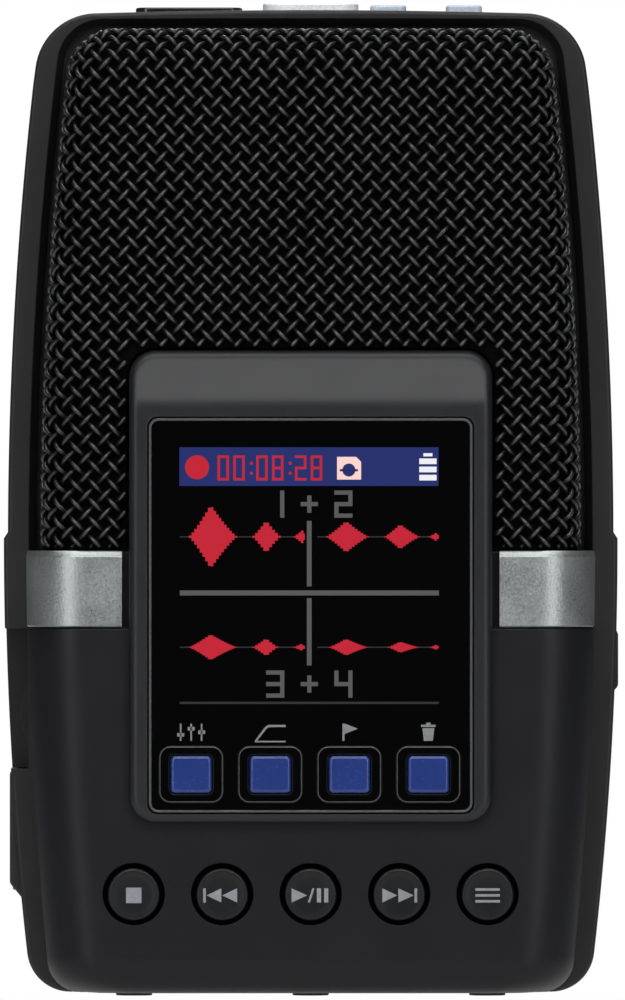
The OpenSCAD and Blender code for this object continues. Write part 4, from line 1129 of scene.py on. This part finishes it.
def frame_outlines():
    """Right halves of the frame's outer and inner outlines, with matching points.

    Each runs along the bottom, round a corner that touches the side, up below the hip and
    above it, round the top corner and along a top that may be crowned.
    """
    def half(w_low, r_low, w_high, z0, z1, rb, rt, crown):
        low_centre = w_low - r_low + math.sqrt((r_low - rb) ** 2 - (z0 + rb - WAIST_Z) ** 2)
        top_centre = w_high - SIDE_R + math.sqrt((SIDE_R - rt) ** 2 - (z1 - rt - WAIST_Z) ** 2)
        drop = top_centre ** 2 / (2 * CROWN_R) if crown else 0.0
        low_angle = math.asin((z0 + rb - WAIST_Z) / (r_low - rb))
        top_angle = math.asin((z1 - drop - rt - WAIST_Z) / (SIDE_R - rt))
        floor = np.stack([np.linspace(0, low_centre, 7)[:-1], np.full(6, z0)], -1)
        low = corner_arc(low_centre, z0 + rb, rb, -math.pi / 2, low_angle, 14)
        top = corner_arc(top_centre, z1 - drop - rt, rt, top_angle, math.pi / 2, 16)
        below = side_arc(w_low, r_low, np.linspace(low[-1, 1], HIP_Z - 0.35, 22)[1:])
        step = side_arc((w_low + w_high) / 2, SIDE_R, np.array([HIP_Z]))
        above = side_arc(w_high, SIDE_R, np.linspace(HIP_Z + 0.35, top[0, 1], 26)[:-1])
        x = np.linspace(top_centre, 0, 10)[1:]
        roof = np.stack([x, z1 - x ** 2 / (2 * CROWN_R) * bool(crown)], -1)
        return np.concatenate([floor, low, below, step, above, top, roof])
    outer = half(HIP_W, HIP_R, FRAME_W, FOOT_H, FRAME_TOP, BOTTOM_CORNER, TOP_CORNER, True)
    inner = half(FRAME_W - RAIL_T, SIDE_R, FRAME_W - RAIL_T, FOOT_H + RAIL_T, FRAME_TOP - ROOF_T,
                 0.6, INNER_CORNER, False)
    return outer, inner


def frame_ring():
    """The frame as one closed section carried round its outline.

    From the outside: a rounded outer edge, a flat land, a bevel down to the inner wall and,
    above the waist, a lip that the grilles rest on.
    """
    outer, inner = frame_outlines()
    mirror = (-1, 1)
    outer = np.concatenate([outer, outer[-2:0:-1] * mirror])
    inner = np.concatenate([inner, inner[-2:0:-1] * mirror])
    width = np.linalg.norm(inner - outer, axis=1)
    inward = (inner - outer) / width[:, None]
    lip = LIP_W * np.clip((inner[:, 1] - BAND_TOP) / 0.5, 0, 1)
    rounding = [(EDGE_R * (1 - math.cos(a)), EDGE_R * (1 - math.sin(a)))
                for a in np.linspace(0, math.pi / 2, 6)]
    half = [(np.full(len(width), o), RAIL_Y - d) for o, d in rounding]
    half += [(width - BEVEL_W, RAIL_Y), (width - BEVEL_W + 0.12, RAIL_Y - 0.06),
             (width - 0.05, RAIL_Y - BEVEL_D), (width, RAIL_Y - BEVEL_D - 0.15),
             (width, LIP_HIGH), (width + lip, LIP_HIGH), (width + lip, LIP_LOW),
             (width, LIP_LOW)]
    section = [(o, -y) for o, y in half] + [(o, y) for o, y in half[::-1]]
    rows = []
    for offset, y in section:
        flat = outer + inward * np.asarray(offset)[:, None]
        rows.append(np.stack([flat[:, 0], np.full(len(flat), y), flat[:, 1]], -1))
    faces = grid_faces(len(rows), len(outer), close_rows=True, close_cols=True)
    return recalculated(mesh_from("frame_ring", np.concatenate(rows), faces))


def side_recess(depth, z, y):
    """What a recess in the right side takes away, its floor at a depth under the arched side."""
    floor = side_arc(HIP_W - depth, HIP_R, np.linspace(*z, 13))
    return prism([(CLEAR_X, z[0])] + floor.tolist() + [(CLEAR_X, z[1])], "y", *y)


def jack_bores():
    return [rod((-CLEAR_X, JACK_Y, z), (1, 0, 0), JACK_R, 25) for z in JACK_Z]


def frame_openings():
    """Everything that is cut out of the ring, in the order in which it is cut."""
    dial, plug = DIAL_SPACE, PLUG_HOLE
    cutters = [
        block(-CLEAR_X, DIAL_FLAT["x"], -20, DIAL_FLAT["y"], *DIAL_FLAT["z"]),
        rod((dial["x"], dial["y"], dial["z"]), (0, 1, 0), dial["r"], dial["t"], 64),
        side_recess(**COVER_RECESS),
        side_recess(**SLIDER_RECESS),
        block(25, CLEAR_X, *SLIDER_SLOT["y"], *SLIDER_SLOT["z"]),
        block(20, CLEAR_X, *CARD_SLOT["y"], *CARD_SLOT["z"]),
        prism(rounded_loop(plug["w"], plug["h"], plug["r"], plug["y"], plug["z"]),
              "x", 20, CLEAR_X),
    ]
    cutters += [prism(rounded_loop(*hole), "z", 90, 130) for hole in TOP_HOLES]
    cutters += jack_bores()
    return cutters + [block(29.0, CLEAR_X, -2, 2, z, z + STRAP_H) for z in STRAP_Z]


def center_frame():
    """The ring with its openings, the lugs and posts inside it, and the pad round the jacks."""
    ring = cut(frame_ring(), *frame_openings())
    ring.name = "center_frame_finish"
    ring.set_sharp_from_angle(angle=math.radians(35))
    piece = add_piece(ring.name, ring, "body", FRAME_PLASTIC, ("center_frame",))
    round_edges(piece, 0.0)
    collar = [(4.6, 3.0), (4.6, 8.2), (3.9, 8.2), (3.9, 3.0)]
    lugs = [turned((0, INSERT_Y, FOOT_H), (0, 0, 1), collar, 48)]
    for x in (-SCREW_X, SCREW_X):
        lugs += [block(x - LUG_HALF, x + LUG_HALF, -13.4, -8.0, 2.2, 6.5)]
        lugs += [block(x - LUG_HALF, x + LUG_HALF, 8.0, 13.3, 2.2, 3.4)]
    lugs += [rod((x, 0, POST_Z), (0, 0, 1), 1.5, 4.9, 32) for x in (-POST_X, POST_X)]
    mesh = recalculated(mesh_from("frame_lugs", *joined(*lugs), False))
    add_piece(mesh.name, mesh, "body", FRAME_PLASTIC)
    mesh = cut(mesh_from("pad", *prism(PAD, "y", -7.5, 7.5)), *jack_bores())
    mesh.name = "jack_pad"
    piece = add_piece(mesh.name, mesh, "body", FRAME_PLASTIC)
    round_edges(piece, 0.3, 3, 30)


center_frame()


# ---------------------------------------------------------------- inside and below

def springs():
    """Two conical springs: three and a half turns that shrink along the axis."""
    parts = []
    t = np.linspace(0, 1, 110)
    for z, side in CELLS.values():
        turn = t * 3.5 * 2 * math.pi
        r = 3.5 - 1.1 * t
        x = -side * (CONTACT_X - 0.3 - 2.1 * t)
        path = np.stack([x, CELL_Y + r * np.cos(turn), z + r * np.sin(turn)], -1)
        parts.append(tube(path, 0.28, 8))
    mesh = recalculated(mesh_from("battery_springs_finish", *joined(*parts)))
    add_piece(mesh.name, mesh, "body", STEEL, ("battery_springs",))


def cells():
    """Two cells: a sleeve with shrunk ends, a bare rim and a raised terminal."""
    body = CELL_LENGTH - 1.3
    sleeve = [(0, 0.25), (4.2, 0.25), (4.6, 0.0), (6.5, 0.0), (7.0, 0.12), (CELL_R, 0.6),
              (CELL_R, body - 0.7), (6.9, body - 0.15), (5.6, body), (5.2, body - 0.25),
              (2.9, body - 0.2), (0, body - 0.2)]
    cap = [(0, body - 0.3), (2.75, body - 0.3), (2.75, CELL_LENGTH - 0.3),
           (2.45, CELL_LENGTH), (0, CELL_LENGTH)]
    for node, (z, side) in CELLS.items():
        centre = (side * (CONTACT_X - CELL_LENGTH), CELL_Y, z)
        mesh = recalculated(mesh_from(node + "_sleeve", *turned(centre, (side, 0, 0), sleeve, 96)))
        mesh.set_sharp_from_angle(angle=math.radians(35))
        add_piece(mesh.name, mesh, "body", CELL_SLEEVE, (node,))
        mesh = recalculated(mesh_from(node + "_terminal", *turned(centre, (side, 0, 0), cap, 48)))
        mesh.set_sharp_from_angle(angle=math.radians(35))
        add_piece(mesh.name, mesh, "body", STEEL)


def tripod_insert():
    """Brass insert with a true thread: the bore's radius follows a helix of one turn a pitch."""
    pitch, deep, crest, outer = 1.27, 7.0, 2.6, 3.9
    sides, rows = 48, 61
    t = np.linspace(0, 2 * math.pi, sides, endpoint=False)
    h = np.linspace(0, deep, rows)
    phase = (h[:, None] / pitch - t[None] / (2 * math.pi)) % 1
    run_out = np.clip(np.minimum(h, deep - h) / 0.3, 0, 1)
    bore = crest + 0.45 * np.abs(2 * phase - 1) * run_out[:, None]
    rings = [(np.full(sides, outer - 0.2), 0.0), (np.full(sides, outer), 0.2),
             (np.full(sides, outer), deep - 0.2), (np.full(sides, outer - 0.2), deep)]
    rings += [(bore[k], h[k]) for k in range(rows - 1, -1, -1)]
    pts = np.concatenate([np.stack([r * np.cos(t), r * np.sin(t) + INSERT_Y,
                                    np.full(sides, FOOT_H + z)], -1) for r, z in rings])
    faces = grid_faces(len(rings), sides, close_rows=True, close_cols=True)
    mesh = recalculated(mesh_from("tripod_insert_finish", pts, faces))
    mesh.set_sharp_from_angle(angle=math.radians(50))
    add_piece(mesh.name, mesh, "body", BRASS, ("tripod_insert",))


springs()
cells()
tripod_insert()
for node_name, finish, slot_name, edge in (
    ("case_screws", DARK_STEEL, "screw_steel", 0.1), ("feet", RUBBER, "foot_rubber", 0.1),
    ("headphone_jack", JACK_PLASTIC, "jack_plastic", 0.15),
    ("line_in_jack", JACK_PLASTIC, "jack_plastic", 0.15),
    ("usb_socket", STEEL, "socket_steel", 0.08), ("card_socket", STEEL, "socket_steel", 0.08),
):
    finished_copy(node_name, finish, edge, 2)

PLAIN = {
    "inner_chassis": INNER_PLASTIC, "battery_tray": INNER_PLASTIC, "battery_contacts": STEEL,
    "display_module": WINDOW_GLOSS, "display_board": BOARD, "function_switches": STEEL,
    "front_foam": FOAM, "rear_foam": FOAM, "speaker": INNER_PLASTIC, "main_board": BOARD,
    "main_chips": INNER_PLASTIC, "board_screws": STEEL, "key_board": BOARD,
    "tact_switches": STEEL, "top_board": BOARD, "mic_cradle": RUBBER,
    "mic_front_left": CAPSULE_METAL, "mic_front_right": CAPSULE_METAL,
    "mic_rear_left": CAPSULE_METAL, "mic_rear_right": CAPSULE_METAL,
    "power_switch": INNER_PLASTIC, "volume_pot": INNER_PLASTIC,
}
for node_name, finish in PLAIN.items():
    for place in frame["nodes"][node_name].material_slots:
        place.material = finish


# ---------------------------------------------------------------- floor, light, camera

def look_at(obj, place, target):
    """Puts obj at place, its -Z axis towards target."""
    obj.location = place
    away = np.asarray(place) - np.asarray(target)
    flat = math.hypot(away[0], away[1])
    obj.rotation_euler = (math.atan2(flat, away[2]), 0, math.atan2(away[0], -away[1]))


def soft_light(name, place, target, width, height, power):
    data = bpy.data.lights.new(name, "AREA")
    data.shape = "RECTANGLE"
    data.size, data.size_y = width, height
    data.energy = power
    light = bpy.data.objects.new(name, data)
    bpy.context.scene.collection.objects.link(light)
    light.visible_camera = False
    look_at(light, place, target)
    return light


def make_floor():
    """A pale floor just under the travel of the battery door, clear when seen from below."""
    mesh = bpy.data.meshes.new("floor")
    mesh.from_pydata([(x, y, FLOOR_Z) for x, y in ((-1.5, -1.5), (1.5, -1.5), (1.5, 0.7),
                                                   (-1.5, 0.7))], [], [(0, 1, 2, 3)])
    material, tree, bsdf = shader("pale_floor")
    bsdf.inputs["Base Color"].default_value = (0.86, 0.86, 0.86, 1)
    bsdf.inputs["Roughness"].default_value = 0.7
    bsdf.inputs["Emission Color"].default_value = (1, 1, 1, 1)
    path = tree.nodes.new("ShaderNodeLightPath")
    tree.links.new(math_node(tree, "MULTIPLY", path.outputs["Is Camera Ray"], 0.9),
                   bsdf.inputs["Emission Strength"])
    side = tree.nodes.new("ShaderNodeNewGeometry")
    tree.links.new(math_node(tree, "SUBTRACT", 1.0, side.outputs["Backfacing"]),
                   bsdf.inputs["Alpha"])
    mesh.materials.append(material)
    floor = bpy.data.objects.new("floor", mesh)
    bpy.context.scene.collection.objects.link(floor)


def make_world():
    """Plain white surroundings to the eye, dim ones to the surfaces."""
    world = bpy.data.worlds.new("studio")
    bpy.context.scene.world = world
    world.use_nodes = True
    tree = world.node_tree
    seen = tree.nodes["Background"]
    seen.inputs["Color"].default_value = (1, 1, 1, 1)
    seen.inputs["Strength"].default_value = 1.0
    dim = tree.nodes.new("ShaderNodeBackground")
    dim.inputs["Color"].default_value = (0.95, 0.97, 1, 1)
    dim.inputs["Strength"].default_value = 0.03
    path = tree.nodes.new("ShaderNodeLightPath")
    mix = tree.nodes.new("ShaderNodeMixShader")
    tree.links.new(path.outputs["Is Camera Ray"], mix.inputs["Fac"])
    tree.links.new(dim.outputs["Background"], mix.inputs[1])
    tree.links.new(seen.outputs["Background"], mix.inputs[2])
    tree.links.new(mix.outputs["Shader"], tree.nodes["World Output"].inputs["Surface"])


FLOOR_Z = -0.041
CAMERA_FAR = 2.4
VIEW_HEIGHT = 0.111
AIM = (0.0002, 0.0, 0.0547)

make_floor()
make_world()
for name, side in (("left", -1), ("right", 1)):
    soft_light(name + "_box", (side * 0.42, -0.62, 0.10), (0, 0, 0.055), 0.17, 0.9, 1.9)
    soft_light(name + "_fill", (side * 0.55, -1.5, 0.10), (0, 0, 0.055), 0.5, 0.9, 0.45)
soft_light("brow_box", (0, -0.52, 0.50), (0, 0, 0.06), 0.7, 0.22, 2.7)
soft_light("overhead_box", (0, -0.05, 0.70), (0, 0, 0.06), 0.6, 0.3, 2.6)
soft_light("back_fill", (0, 1.0, 0.5), (0, 0, 0.055), 0.8, 0.6, 3.0)

camera_data = bpy.data.cameras.new("camera")
camera_data.sensor_fit = "VERTICAL"
camera_data.sensor_height = 24.0
camera_data.lens = 24.0 * CAMERA_FAR / VIEW_HEIGHT
camera = bpy.data.objects.new("camera", camera_data)
bpy.context.scene.collection.objects.link(camera)
look_at(camera, (AIM[0], AIM[1] - CAMERA_FAR, AIM[2]), AIM)
bpy.context.scene.camera = camera
bpy.context.scene.view_settings.view_transform = "Standard"
